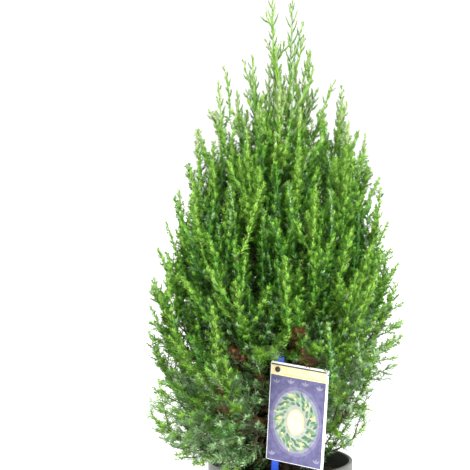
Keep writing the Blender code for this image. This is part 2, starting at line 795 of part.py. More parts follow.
def bent_spray(template, foot, heading, ending, length, level):
    """The template's points laid along a curve from foot that turns from heading to ending."""
    ending = ending / np.linalg.norm(ending)
    share = template[:, 2:3]
    bend = foot + length * (heading * (share - 0.5 * share ** 2) + ending * 0.5 * share ** 2)
    middle = heading + ending
    side, up = across_frame(middle, level)
    width = max(SPRAY_WIDTH_SHARE * length, SPRAY_LEAST_WIDTH)
    return bend + width * (template[:, 0:1] * side + template[:, 1:2] * up)


def spray_meshes(limb, mass_index, space, template_mesh):
    """Every spray of a mass that fits its space, each first shortened where it lacks room."""
    count = len(template_mesh.vertices)
    template = np.empty(count * 3)
    template_mesh.vertices.foreach_get("co", template)
    template = template.reshape(-1, 3)
    triangles = triangles_of([tuple(face.vertices) for face in template_mesh.polygons])
    plans = [spray_line(limb, index) for index in range(limb["sprays"])]
    apical_foot, apical_way = stem_at(limb, APICAL_FOOT)
    apical_tip, tip_way = stem_at(limb, 1.0)
    apical_length = float(np.linalg.norm(apical_tip - apical_foot))
    plans.append((apical_foot, apical_way, tip_way, apical_length))
    meshes = []
    for foot, heading, ending, length in plans:
        for scale in SPRAY_TRIES:
            places = bent_spray(
                template, foot, heading, ending, length * scale, limb["level"])
            samples = face_samples(places[triangles]).reshape(-1, 3)
            if space.free(samples, mass_index, CELL_GAP).all():
                mesh = template_mesh.copy()
                mesh.vertices.foreach_set("co", places.ravel())
                meshes.append(mesh)
                break
    return meshes


def fused_mesh(name, core, sprays, solver):
    """The core with its sprays fused on by one union on a collection."""
    holder = bpy.data.collections.new(f"{name}_sprays")
    bpy.context.scene.collection.children.link(holder)
    body = link_object(f"{name}_core", core, holder)
    holder.objects.unlink(body)
    bpy.context.scene.collection.objects.link(body)
    for mesh in sprays:
        link_object(f"{name}_spray", mesh, holder)
    union = body.modifiers.new("fuse", "BOOLEAN")
    union.operation = "UNION"
    union.operand_type = "COLLECTION"
    union.collection = holder
    union.solver = solver
    bpy.context.view_layer.update()
    fused = evaluated_copy(body)
    drop_scraps(fused)
    for piece in [body, *holder.objects]:
        bpy.data.objects.remove(piece, do_unlink=True)
    bpy.data.collections.remove(holder)
    return fused


def build_mass(limb, mass_index, space, template_mesh, collection, material):
    """One closed solid. Where fusing fails, the other solver is tried, then a spray is left out."""
    name = f"foliage_{limb['name']}"
    core = core_mesh(limb, mass_index, space)
    sprays = spray_meshes(limb, mass_index, space, template_mesh)
    for left_out in [None, *range(len(sprays))]:
        kept = [spray for index, spray in enumerate(sprays) if index != left_out]
        for solver in ("MANIFOLD", "EXACT"):
            fused = fused_mesh(name, core, kept, solver)
            if is_sound(fused):
                return link_object(name, fused, collection, material)
    raise RuntimeError(f"{name} can't be fused into one solid")


def main():
    clear_scene()
    collection = new_collection("potted_upright_juniper")
    cutters = new_collection("cutters")

    pot_material = make_material("pot_plastic", (0.33, 0.32, 0.28), 0.45)
    soil_material = make_material("potting_mix", (0.045, 0.032, 0.022), 0.95)
    bark_material = make_material("bark", (0.21, 0.12, 0.07), 0.85)
    needle_material = make_material("needles", (0.16, 0.36, 0.08), 0.55)
    card_material = make_material("label_card", (0.46, 0.42, 0.72), 0.35)
    stake_material = make_material("label_stake", (0.03, 0.10, 0.45), 0.40)

    label_frame = label_matrix()
    build_pot(collection, cutters, pot_material)
    build_soil(collection, cutters, soil_material, label_frame)
    build_label(collection, cutters, card_material, stake_material, label_frame)
    build_trunk(collection, bark_material)

    limbs = tier_limbs() + leader_limbs()
    build_boughs(limbs, collection, bark_material)
    space = Space(limbs, label_frame)
    template_mesh = spray_template()
    for mass_index, limb in enumerate(limbs):
        build_mass(limb, mass_index, space, template_mesh, collection, needle_material)
    bpy.data.meshes.remove(template_mesh)


main()
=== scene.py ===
"""Looks of an upright dwarf juniper in a nursery pot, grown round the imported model.

Metres, +Z up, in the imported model's frame. The limbs and sprays follow the same seeded rule as
the model's source. Here each spray is a plume: an axis with side twigs, and whorls of three
needles along all of them. Columns, which are further plumes, fill the crown between the sprays.
"""

import math
import random

import bpy
import numpy as np
from mathutils import Matrix, Vector


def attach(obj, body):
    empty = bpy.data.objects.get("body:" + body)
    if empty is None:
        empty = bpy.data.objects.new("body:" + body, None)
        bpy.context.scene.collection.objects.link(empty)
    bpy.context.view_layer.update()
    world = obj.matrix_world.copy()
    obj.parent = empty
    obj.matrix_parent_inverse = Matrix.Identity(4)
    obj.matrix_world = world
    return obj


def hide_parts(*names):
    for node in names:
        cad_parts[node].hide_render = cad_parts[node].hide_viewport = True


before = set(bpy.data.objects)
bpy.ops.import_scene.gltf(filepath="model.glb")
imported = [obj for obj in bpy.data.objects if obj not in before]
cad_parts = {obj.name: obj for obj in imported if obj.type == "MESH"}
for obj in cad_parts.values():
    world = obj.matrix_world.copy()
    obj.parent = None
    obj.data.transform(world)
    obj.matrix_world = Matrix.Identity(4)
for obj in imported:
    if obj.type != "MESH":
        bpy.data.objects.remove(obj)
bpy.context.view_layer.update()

GAP = 0.0003
UP = np.array((0.0, 0.0, 1.0))

# Pot, as in the model's source
POT_HEIGHT = 0.145
POT_RIM_RADIUS = 0.085
POT_LIP_WIDTH = 0.004
POT_LIP_THICKNESS = 0.0022
POT_SKIRT_HEIGHT = 0.016
POT_SKIRT_THICKNESS = 0.0016
POT_WALL = 0.0018
POT_FLOOR = 0.0025
POT_BASE_RADIUS = 0.0625
POT_FOOT_CHAMFER = 0.002
DRAIN_HOLE_COUNT = 6
DRAIN_HOLE_RADIUS = 0.005
DRAIN_HOLE_CIRCLE = 0.045
DRAIN_HOLE_TURN = 0.37
SOIL_LEVEL = 0.127

# Trunk and limbs, as in the model's source
TRUNK_FOOT_RADIUS = 0.0072
TRUNK_FLARE = 0.0042
TRUNK_FLARE_HEIGHT = 0.009
TRUNK_TIP_RADIUS = 0.0016
TRUNK_TIP_HEIGHT = 0.585
TRUNK_LEAN = -0.0055
TRUNK_SWAY = 0.0018
TRUNK_SWAY_WAVES = 1.7
BOUGH_FOOT_RADIUS = 0.0029
SEED = 41
TIERS = (
    # name, limbs, first azimuth and sweep, reach and height of the tips, height of the feet,
    # bare share, sprays, their length, the core's radius and the sprays' turn upward
    ("upper", 4, 22.0, 360.0, 0.034, 0.616, 0.455, 0.0, 8, 0.054, 0.012, 0.62),
    ("shoulder", 5, -12.0, 360.0, 0.074, 0.590, 0.392, 0.0, 9, 0.074, 0.023, 0.58),
    ("high", 6, 14.0, 360.0, 0.101, 0.532, 0.330, 0.0, 9, 0.080, 0.027, 0.55),
    ("middle", 6, -16.0, 360.0, 0.125, 0.462, 0.268, 0.13, 9, 0.084, 0.030, 0.50),
    ("broad", 6, 8.0, 360.0, 0.145, 0.386, 0.214, 0.15, 9, 0.086, 0.033, 0.40),
    ("skirt", 5, 30.0, 360.0, 0.148, 0.292, 0.176, 0.16, 10, 0.084, 0.032, 0.20),
    ("hem", 4, -22.0, 288.0, 0.150, 0.206, 0.150, 0.0, 10, 0.078, 0.026, -0.04),
)
LEADERS = (
    ("leader_left", (-0.0100, 0.0000, 0.6820), None),
    ("leader_right", (0.0135, -0.0040, 0.6820), 0.500),
)
LEADER_SPRAYS = 7
LEADER_SPRAY_LENGTH = 0.036
LEADER_TURN_UP = 0.7
LEADER_FOOT_OUT = 0.010
LEADER_FOOT_RISE = 0.3
LEADER_TIP_BEND = (0.05, 0.45)
AZIMUTH_JITTER = 5.0
TIP_AZIMUTH_JITTER = 4.0
TIP_HEIGHT_JITTER = 0.010
FOOT_HEIGHT_JITTER = 0.4
TIP_RADIUS_JITTER = 0.004
LIMB_LEVEL_SHARE = 0.42
LIMB_TURN_SHARE = 0.93
CROWN_PROFILE = (
    (0.145, 0.112), (0.170, 0.138), (0.200, 0.150), (0.250, 0.149), (0.320, 0.151), (0.380, 0.141),
    (0.440, 0.125), (0.500, 0.106), (0.560, 0.084), (0.610, 0.060), (0.650, 0.034), (0.690, 0.022),
)
CROWN_SHIFT = -0.005
CROWN_SHIFT_HEIGHT = 0.560
THIN_SIDE_SHARE = 0.50
THIN_SIDE_TOP = 0.275
THIN_SIDE_AZIMUTH = -8.0
THIN_SIDE_SPREAD = 60.0
THIN_SIDE_STEEPNESS = 1.7
STEM_SAMPLES = 12
SPRAY_FIRST = 0.20
SPRAY_LAST = 0.80
SPRAY_PHASES = (0.35, 0.1)
SPRAY_ANGLE = 50.0
SPRAY_CLOSING = 0.35
SPRAY_TURN_JITTER = 0.3
SPRAY_ANGLE_JITTER = 7.0
SPRAY_SHORTENING = 0.30
SPRAY_LENGTH_SPREAD = (0.88, 1.12)
TURN_PER_SPRAY = 0.7548776662
STEP_PER_SPRAY = 0.5698402910

# Label, as in the model's source
CARD_WIDTH = 0.068
CARD_HEIGHT = 0.115
CARD_THICKNESS = 0.0008
CARD_CENTRE = (0.0187, -0.0880, 0.2123)
CARD_YAW = -22.5
CARD_LEAN = 7.9
CARD_ROLL = 6.5
STAKE_OFFSET = -0.0235
STAKE_WIDTH = 0.0080
STAKE_THICKNESS = 0.0020
STAKE_ABOVE_CARD = 0.006
PEG_OFFSET = -0.0255
PEG_BELOW_TOP = 0.0085

# Columns: the plumes of the scene. Their tips are spread evenly over the crown's outline
PLUME_TRIES = (1.0, 0.9, 0.8, 0.7, 0.6, 0.5)
SPRAY_TIP_SPACING = 0.016
SPRAY_SCALE = {"leader": 0.78, "upper": 0.85}
SPRAY_BARE = 0.30
SHELLS = (
    # outer, inner and core: tips tried, their depth from and to, sideways and upward room,
    # and the share of long ones
    (4200, 0.008, 0.017, 0.0138, 0.034, 0.16),
    (2800, 0.026, 0.042, 0.0140, 0.038, 0.00),
    (2600, 0.052, 0.092, 0.0160, 0.040, 0.00),
)
CARRIER_SHELL = 3
CARRIER_WIDTH = 0.9
CARRIER_BARE = 0.35
COLUMN_FOOT = SOIL_LEVEL + 0.022
COLUMN_RANGE = 0.530
COLUMN_CROWDING = 1.15
COLUMN_TURN_JITTER = 0.05
COLUMN_SWAY = 0.14
COLUMN_BOW = 0.07
COLUMN_LENGTH_SPREAD = (0.8, 1.25)
LOW_ROOM = (0.0148, 0.0180)
TOP_ROOM = (0.0200, 0.036)
LEFT_ROOM = 0.86
LEFT_ROOM_TOP = 0.36
LEAST_RADIUS = 0.006
LONG_TIP_DEPTH = 0.005
TIP_OUTSIDE = 0.004
LONG_TIP_INSIDE = 0.004
LEAST_PROBE = 0.001
TWIG_OUTSIDE = 0.010
FAR_AWAY = (9.0, 9.0, 9.0)
INSET = (
    # height, further inset of the tips there, but for the long ones
    (0.145, 0.026), (0.310, 0.023), (0.380, 0.009), (0.500, 0.005), (0.530, 0.012),
    (0.560, 0.021), (0.605, 0.029), (0.640, 0.024), (0.690, 0.012),
)
LEFT_INSET = (
    # height, further inset of the tips on the left side
    (0.145, 0.000), (0.230, 0.000), (0.260, 0.013), (0.300, 0.015), (0.325, 0.011),
    (0.350, 0.011), (0.400, 0.011), (0.480, 0.020), (0.520, 0.018), (0.600, 0.009), (0.690, 0.000),
)
RIGHT_INSET = (
    # height, further inset of the tips on the right side
    (0.145, 0.048), (0.200, 0.036), (0.240, 0.020), (0.300, 0.007), (0.340, 0.012),
    (0.400, 0.012), (0.450, 0.007), (0.520, 0.003), (0.690, 0.000),
)
SEAMS = (
    # sideways place, lowest and highest tip, half width and furthest back of a gap in the front
    (-0.031, 0.384, 0.444, 0.010, 0.0), (-0.0195, 0.332, 0.392, 0.013, -0.012),
    (-0.033, 0.535, 0.585, 0.008, 0.10), (-0.034, 0.145, 0.200, 0.015, -0.02),
)
BROWN_PLACES = (
    # sideways place and height of the sprays that have died inside the front
    (-0.051, 0.303), (0.019, 0.304), (-0.062, 0.232),
)
BROWN_REACH = (0.006, 0.014)
BROWN_BACK = -0.03
DEAD_SHARE = 0.05
DEAD_TOP = 0.31
THIN_SIDE_INSET = 0.034
THIN_SIDE_DROP = 0.050
THIN_SIDE_DROP_TOP = 0.40
LONG_ONES_TOP = 0.52
COLUMN_TRIES = (
    # share of the length, and how far the column is laid level
    (1.00, 0.0), (0.75, 0.0), (0.75, 0.5), (0.60, 0.8), (0.50, 1.0), (0.35, 1.0),
)
LAID_RISE = 0.12
SLANT_COST = 0.030
CLIMB_COST = 0.25
JOINT_REACH = 0.40
SINGLE_ROOM = 0.10
SINGLE_WIDTH = (0.56, 0.68)
SIDE_TIPS = (
    # sideways place, height and rise in degrees of single sprigs that stand out in the outline
    (-0.044, 0.614, 70), (-0.066, 0.606, 82), (-0.084, 0.555, 66), (-0.096, 0.532, 72),
    (-0.107, 0.488, 78), (-0.124, 0.454, 76), (-0.135, 0.423, 70), (-0.145, 0.392, 66),
    (-0.153, 0.324, 62), (-0.144, 0.345, 66), (-0.139, 0.290, 50), (-0.144, 0.258, 36),
    (-0.151, 0.227, 28), (-0.153, 0.205, 22), (-0.142, 0.183, 22), (-0.142, 0.169, 33),
    (-0.128, 0.158, 14), (-0.112, 0.152, 6), (-0.0175, 0.637, 72), (-0.0140, 0.646, 78),
    (0.0275, 0.641, 76), (0.0255, 0.656, 78),
    (0.034, 0.625, 78), (0.038, 0.607, 74), (0.064, 0.590, 70), (0.077, 0.563, 76),
    (0.091, 0.530, 70), (0.099, 0.501, 72), (0.115, 0.475, 68), (0.126, 0.424, 62),
    (0.138, 0.377, 56), (0.134, 0.354, 46), (0.144, 0.329, 26), (0.142, 0.305, 14),
    (0.131, 0.284, 25), (0.138, 0.266, 11), (0.131, 0.241, 4), (0.108, 0.226, -14),
    (0.109, 0.202, -17), (0.080, 0.184, -30), (0.086, 0.161, -4), (-0.004, 0.606, 88),
    (0.005, 0.594, 86), (0.012, 0.609, 88), (-0.011, 0.588, 86),
)
SIDE_TIP_STAGGER = 0.0015
VEIL_TIPS = (
    # places over the stake's top, from the middle of the card, and rise in degrees
    (-0.0265, -0.0075, 0.0655, -36), (-0.0200, -0.0082, 0.0662, -32),
)
COLUMN_LEAN = (
    # height of the tip, outward part and upward part of the tip's way
    (0.145, 1.00, -0.05), (0.180, 1.00, 0.22), (0.215, 1.00, 0.50), (0.260, 0.75, 0.80),
    (0.320, 0.38, 1.00), (0.400, 0.16, 1.00), (0.500, 0.10, 1.00), (0.690, 0.06, 1.00),
)
LOW_SWAY = 0.9
COLUMN_LENGTH = (
    # height of the tip, length of the column
    (0.145, 0.042), (0.220, 0.046), (0.300, 0.062), (0.480, 0.068), (0.560, 0.050), (0.690, 0.044),
)
FOOT_SAMPLES = 30
FOOT_RANGE = (0.55, 0.97)

# Stretches of the limbs themselves that carry twigs and needles
AXIS_PARTS = {
    "leader": ((0.0, 0.38), (0.30, 0.70), (0.62, 1.0)),
    "upper": ((0.10, 0.40), (0.32, 0.70), (0.62, 1.0)),
    "broad": ((0.24, 0.50), (0.44, 0.74), (0.62, 0.88)),
    "skirt": ((0.16, 0.44), (0.38, 0.70), (0.62, 1.0)),
    "hem": ((0.12, 0.42), (0.36, 0.68), (0.60, 1.0)),
}
OTHER_AXIS_PARTS = ((0.36, 0.70), (0.60, 1.0))
AXIS_WIDTH = 1.1
TRUNK_PARTS = (0.460, 0.500, 0.540)
TRUNK_PART_LENGTH = 0.045

# Room round a growing shoot: outside the crown's outline, above the pot, off the label
CELL_SLACK = 0.018
LABEL_GAP = 0.0030
LABEL_VIEW_SLOPE = 0.15
SPRAY_ROOM = (0.001, 0.004, LABEL_GAP + 0.003)
COLUMN_ROOM = (0.012, 0.003, LABEL_GAP + 0.001)
TWIG_ABOVE_POT = 0.002
NEEDLE_ROOM = (0.0012, 0.0008)
FOLIAGE_DEPTH = 0.105
INNER_DEPTH = 0.060
INNER_DEPTH_GAIN = 0.09
INNER_THINNING = 0.6

# Side twigs
GOLDEN_TURN = math.pi * (3.0 - math.sqrt(5.0))
LAST_TWIG = 0.97
INNER_TWIG_SPACING = 1.5
TWIG_TRAITS = {
    # low down, in the middle and at the top, and the heights where it changes to the next
    "spacing": (0.0074, 0.0030, 0.0046, (0.20, 0.30), (0.50, 0.60)),
    "length": (0.0140, 0.0102, 0.0150, (0.20, 0.30), (0.50, 0.62)),
    "angle": (54.0, 50.0, 35.0, (0.22, 0.36), (0.48, 0.58)),
}
TWIG_CLOSING = 0.22
TWIG_TAPER = (1.10, 0.40)
TWIG_STEP_SPREAD = (0.2, 0.8)
TWIG_LENGTH_SPREAD = (0.72, 1.22)
TWIG_TURN_JITTER = 0.25
TWIG_ANGLE_JITTER = 5.0
TWIG_TURN_IN = 0.30
TWIG_FLATTENING = (0.60, 1.0)
TWIG_RISE = (0.06, 0.22)
CLOTHED_FROM = 0.8
TWIG_CLOTHED_FROM = 0.08
SHOOT_MIDDLE = 0.6
SHOOT_KINDS = (
    # plume axes, then side twigs: radius at the foot and at the tip, rings, brown up to here
    (0.0009, 0.0004, 4, 0.29), (0.00045, 0.0003, 1, 0.0),
)
CARRIER_BROWN_TOP = 0.50
BROWN_DEPTHS = (0.022, 0.048)

# Needles
NEEDLE_SHAPES = {
    # in the middle, at the top and low down, then inside the crown in the middle and at the top
    "length": (0.0052, 0.0048, 0.0070, 0.0068, 0.0050),
    "angle": (46.0, 28.0, 56.0, 48.0, 30.0),
    "width": (0.00215, 0.00130, 0.00150, 0.0021, 0.0016),
    "spacing": (0.0017, 0.0016, 0.0018, 0.0027, 0.0027),
}
NEEDLE_SHARE_JITTER = 0.004
NEEDLE_TURN_JITTER = 0.22
NEEDLE_ANGLE_JITTER = 5.0
NEEDLE_LENGTH_SPREAD = (0.8, 1.18)
NEEDLE_CLOSING = (0.10, 0.45)
NEEDLE_SHORTENING = (0.35, 0.60)
NEEDLE_NARROWING = 0.25
SHOULDER_SHARE = 0.32
SHOULDER_FOLD = 0.45
POINT_BEND = 0.12
OUTWARD_SHADING = (0.60, 0.42)
INWARD_SHADING = 0.15
YOUNG_TOP = 0.29
YOUNG_TONES = (0.22, 0.82)
# on the older shoots, painted light near the tip and painted shade near the foot: chances, then shares
# along the shoot
OLD_TONES = (0.72, 0.75)
OLD_SHARES = (0.66, 0.36)
PALE_FROM = 0.51
BLADE = ((0, 1, 2), (0, 2, 3))
MOST_TRIANGLES = 190_000

# Which colour a shoot gets, by its lightness and chance
TONE_SPREAD = 0.15
# painted light: twigs further out towards the plumes' tips are dealt lighter colours; the axes count
# as this far out
AXIS_TIPNESS = 0.25
# painted shade: over these depths into the crown the shoots are dealt darker colours, and blue-green
# more often
SHADE_DEPTHS = (0.008, 0.050)
# painted light: near the outline, over these depths, low shoots are dealt lighter colours and any
# shoot may get the palest one
EDGE_DEPTHS = (0.0, 0.022)
PALE_DEPTHS = (0.008, 0.028)
# where a change begins, outward from the middle, and over how much it runs
SIDE_PLACE = (0.06, 0.05)
RIGHT_PLACE = (0.03, 0.06)
TOP_SHADE = 0.45
SHARED_BLUE = 0.65
BLUE_TONE = 0.5
LEAST_BLUE = 0.04
LOW_BLUE = 0.56
LEFT_BLUE_LOSS = 0.26
SHADED_BLUE = 0.30
TIP_BLUE_LOSS = 0.20
LIGHT_BASE = 0.46
TIP_LIGHT = 0.34
SHADE_LOSS = 0.42
# what lightens with height, and how much: the paler top growth, together with painted light towards
# the top
HEIGHT_LIGHTS = (("light", 0.14), ("top_light", 0.30), ("tip_light", 0.08))
# painted light: low shoots, and more so those on the airy low right and lowest sides, are dealt
# lighter colours
LOW_LIGHT = 0.06
AIRY_LIGHT = 0.20
# painted light low down: the even lightness there, its gain in airy parts and how far it takes over
LOW_LEVEL = (0.65, 0.14, 0.58)
EDGE_LIGHT = (0.20, 0.16)
LOW_LIGHT_LIMIT = (0.78, 0.12)
LOW_LIGHT_TOP = 0.33
LOW_TONE_GAIN = 0.25
LIGHT_JITTER = 0.06
PALE_LIGHT = (0.98, 0.25)
# the least lightness of each colour, from the lightest one down
GREEN_LIGHTS = (0.74, 0.52, 0.30)
BLUE_LIGHTS = (0.58, 0.28)
INNER_DEAD_SHARE = 0.25

# Heights from and to which a trait of the growth changes
CHANGES = {
    "low_room": (0.30, 0.22), "top_room": (0.50, 0.56), "low_sway": (0.32, 0.22),
    "single": (0.26, 0.36), "bare_core": (0.28, 0.40), "flat": (0.20, 0.33), "rise": (0.22, 0.40),
    "young": (0.19, 0.33), "slim": (0.50, 0.61), "closing": (0.48, 0.60),
    "shortening": (0.50, 0.60), "shading": (0.25, 0.33), "blue": (0.20, 0.42),
    "shade": (0.45, 0.58), "low_side": (0.17, 0.24), "right_side": (0.33, 0.45),
    "light": (0.2, 0.6), "top_light": (0.44, 0.60), "tip_light": (0.55, 0.63),
}

# Bark
GREEN_WOOD_FROM = 0.470
GREEN_LIMB_RING = 20
RIDGE_WAVES = ((3, 0.5), (5, 0.7), (8, 0.9), (11, 0.6), (14, 0.4))
RIDGE_LEVEL = (0.35, 1.0, 0.0)
RIDGE_DRIFT = 30.0
RIDGE_SWING = (0.3, 1.0)
RIDGE_SWING_WAVES = (60.0, 160.0)
RIDGE_NOISE = 0.5
TRUNK_BARK_SEED = 3
TRUNK_FLARE_RANGE = (-0.002, 0.03)
TRUNK_SHAFT_FROM = 0.0315
TRUNK_FLARE_RINGS = 40
TRUNK_RINGS = 190
TRUNK_SIDES = 32
TRUNK_RIDGE = 0.10
LIMB_BARK_SEED = 100
LIMB_BARK_END = 0.97
BROAD_BARK_END = 0.88
LEADER_BARK_SINK = 0.002
LIMB_RINGS = 34
LIMB_SIDES = 10
LIMB_RIDGE = 0.12
LIMB_TIP_RADIUS = 0.0004
LIMB_TAPER = (1.25, 0.7)
SLIM_LIMBS = 0.6

# Pot's mesh
POT_STEPS = 144
FILLET_STEPS = 5
FILLET_REACH = 0.45
DRAIN_HOLE_STEPS = 24
POT_SMOOTH_ANGLE = 40.0

# Potting mix, its chips and the fallen needles
SOIL_FLOOR = POT_FLOOR + GAP
SOIL_RINGS = 44
SOIL_SECTORS = 120
SOIL_DIP = 0.0008
SOIL_SEED = 77
LUMPS = ((60.0, 0.0016), (130.0, 0.0010), (290.0, 0.0007), (560.0, 0.0004))
LUMP_DIRECTIONS = 4
CHIP_COUNT = 1100
# how far the chips and the fallen needles keep from the edge, and the least share of the area
CHIP_PLACES = (0.003, 0.012)
FALLEN_PLACES = (0.006, 0.02)
CHIP_SPREAD = (0.3, 1.0)
CHIP_CROWDING = 1.5
CHIP_LEVELLING = (1.0, 1.0, 0.25)
CHIP_CORNERS = (0.55, 1.0)
CHIP_RISE = 0.3
CHIP_SIZES = ((0.0011, 0.0006, 0.0004), (0.0034, 0.0019, 0.0011))
BARK_CHIP_SHARE = 0.45
FALLEN_NEEDLES = 160
FALLEN_LENGTHS = (0.004, 0.008)
FALLEN_TILT = 0.12
FALLEN_MIDDLE = 0.35
FALLEN_HEIGHT = 0.0012
FALLEN_HALF_WIDTH = 0.0006
FALLEN_BROWN_SHARE = 0.75
BOX_FACES = (
    (0, 1, 3), (0, 3, 2), (4, 6, 7), (4, 7, 5), (0, 4, 5), (0, 5, 1),
    (2, 3, 7), (2, 7, 6), (0, 2, 6), (0, 6, 4), (1, 5, 7), (1, 7, 3))

# The card's print and the peg's cap
CARD_FRONT = -0.5 * CARD_THICKNESS
PEG_PLACE = (PEG_OFFSET, 0.5 * CARD_HEIGHT - PEG_BELOW_TOP)
PEG_CLEARANCE = 0.0018
PRINT_STEP = 0.00004
PRINT_SINK = 0.00002
PRINT_SIDES = (-0.0334, 0.0312)
PRINT_LOW = -0.0569
BAND = (0.0425, 0.0536)
# a thin dark line across the card under its top edge
TOP_LINE = (0.0537, 0.0554)
BAND_LINE = (0.0440, 0.0452)
BAND_LINE_INSETS = (0.012, 0.002)
WREATH_MIDDLE = (-0.0010, -0.0080)
WREATH_GROUNDS = ((0.0302, "violet", 2), (0.0272, "lilac", 3), (0.0240, "mist", 4))
GROUND_TALLNESS = 1.34
WREATH_RINGS = (
    # half width and half height of a ring of leaves, their number and length
    (0.0205, 0.0290, 40, 0.0078), (0.0170, 0.0245, 34, 0.0072), (0.0138, 0.0200, 28, 0.0062),
)
WREATH_LEAF_WIDTH = 0.0030
WREATH_LEANS = (0.45, 1.15)
WREATH_LEAN_JITTER = 0.25
WREATH_SIZES = (0.85, 1.15)
PRINT_SEED = 5
WREATH_COLOURS = ("sage", "fern", "moss", "sage", "fern", "moss", "lichen")
BUD_COUNT = 9
BUD_RING = (0.0188, 0.0268)
BUD_RADIUS = 0.0013
CENTRE_OVALS = (((0.0100, 0.0148), 11, "straw"), ((0.0093, 0.0140), 12, "cream"))
SPRIG_PLACES = (
    (-0.0265, 0.0330), (-0.0095, 0.0352), (0.0075, 0.0352), (0.0245, 0.0330),
    (-0.0275, -0.0515), (0.0255, -0.0515),
)
SPRIG_TURNS = (42.0, 90.0, 138.0)
SPRIG_LEAF = (0.0056, 0.0021)
PRINT_COLOURS = {
    "ink": (62, 60, 70), "cream": (242, 224, 172), "straw": (226, 196, 118), "dusk": (88, 84, 126),
    "violet": (108, 104, 138), "lilac": (134, 134, 154), "mist": (158, 164, 154),
    "sage": (112, 148, 112), "fern": (66, 108, 80), "moss": (88, 126, 84), "lichen": (176, 186, 128),
}
PRINT_SHADES = (-16, 0, 16)
CAP_RADIUS = 0.0031
CAP_HEIGHT = 0.0015
CAP_EDGE = 0.0003
CAP_SEAT = -(CARD_FRONT - 0.00042)
CAP_STEPS = 40

# Camera, light and floor
CAMERA_PLACE = (0.0, -1.40, 0.455)
CAMERA_PITCH = -1.9
CAMERA_YAW = 2.18
FOCAL_PIXELS = 1194.0
FRAME_PIXELS = 470.0
SENSOR_WIDTH = 36.0
WORLD_STRENGTH = 1.25
SUNS = (
    # wide, distant lamps light the floor evenly to the horizon: way to each, strength, spread
    ("key", (0.08, -1.0, 0.95), 3.20, 30.0),
    ("fill", (1.0, -0.45, 0.35), 1.15, 80.0),
    ("top", (0.25, 0.15, 1.0), 0.9, 60.0),
)
FLOOR_SIZE = 400.0
FLOOR_DROP = 0.0002

rng = np.random.default_rng(SEED)


# Curves of the growth rule

def trunk_share(height):
    return min(max((height - SOIL_LEVEL) / (TRUNK_TIP_HEIGHT - SOIL_LEVEL), 0.0), 1.0)


def trunk_point(height):
    share = trunk_share(height)
    lean = TRUNK_LEAN * share ** 1.4
    sway = TRUNK_SWAY * math.sin(math.pi * TRUNK_SWAY_WAVES * share)
    return np.array((lean + sway, 0.6 * sway, height))


def trunk_radius(height):
    share = trunk_share(height)
    plain = TRUNK_FOOT_RADIUS + (TRUNK_TIP_RADIUS - TRUNK_FOOT_RADIUS) * share
    return plain + TRUNK_FLARE * math.exp(-(height - SOIL_LEVEL) / TRUNK_FLARE_HEIGHT)


def bezier(controls, shares):
    p0, p1, p2, p3 = (np.asarray(p, dtype=float) for p in controls)
    t = np.asarray(shares, dtype=float)[:, None]
    s = 1.0 - t
    return s ** 3 * p0 + 3 * s * s * t * p1 + 3 * s * t * t * p2 + t ** 3 * p3


def thin_side_share(azimuth, height):
    """The low right side's share of the crown's radius, 1 away from that side."""
    turn = azimuth - math.radians(THIN_SIDE_AZIMUTH)
    away = np.degrees(np.abs((turn + math.pi) % math.tau - math.pi))
    near = np.minimum(1.0, THIN_SIDE_STEEPNESS * np.maximum(0.0, 1.0 - away / THIN_SIDE_SPREAD))
    low = np.clip((THIN_SIDE_TOP - height) / (THIN_SIDE_TOP - SOIL_LEVEL), 0.0, 1.0)
    return 1.0 - (1.0 - THIN_SIDE_SHARE) * near * low


def crown_shift(height):
    return CROWN_SHIFT * np.clip((CROWN_SHIFT_HEIGHT - height) / 0.1, 0.0, 1.0)


def tier_limbs():
    """One record for each limb: its curve, where its mass begins, and its sprays' sizes."""
    limbs = []
    for tier in TIERS:
        name, count, first, sweep, tip_radius, tip_height, foot_height = tier[:7]
        bare, sprays, length, _, up = tier[7:]
        for index in range(count):
            chance = random.Random(f"{SEED} {name} {index}")
            azimuth = math.radians(
                first + sweep * index / count + chance.uniform(-AZIMUTH_JITTER, AZIMUTH_JITTER))
            reach = tip_radius + chance.uniform(-TIP_RADIUS_JITTER, TIP_RADIUS_JITTER)
            top = tip_height + chance.uniform(-TIP_HEIGHT_JITTER, TIP_HEIGHT_JITTER)
            foot = foot_height + TIP_HEIGHT_JITTER * chance.uniform(
                -FOOT_HEIGHT_JITTER, FOOT_HEIGHT_JITTER)
            drift = azimuth + math.radians(
                chance.uniform(-TIP_AZIMUTH_JITTER, TIP_AZIMUTH_JITTER))
            reach *= float(thin_side_share(azimuth, top))
            out = np.array((math.cos(azimuth), math.sin(azimuth), 0.0))
            out_tip = np.array((math.cos(drift), math.sin(drift), 0.0))
            start = trunk_point(foot) + out * (trunk_radius(foot) + GAP)
            rise = top - foot
            shift = np.array((float(crown_shift(top)), 0.0, 0.0))
            controls = (
                start,
                start + out * LIMB_LEVEL_SHARE * reach,
                shift + out_tip * LIMB_TURN_SHARE * reach + (foot + LIMB_LEVEL_SHARE * rise) * UP,
                shift + out_tip * reach + top * UP,
            )
            limbs.append({
                "name": f"{name}_{index + 1}", "tier": name, "controls": controls, "bare": bare,
                "out": out, "level": np.array((-out[1], out[0], 0.0)),
                "sprays": sprays, "spray_length": length, "turn_up": up, "foot_height": foot,
            })
    return limbs


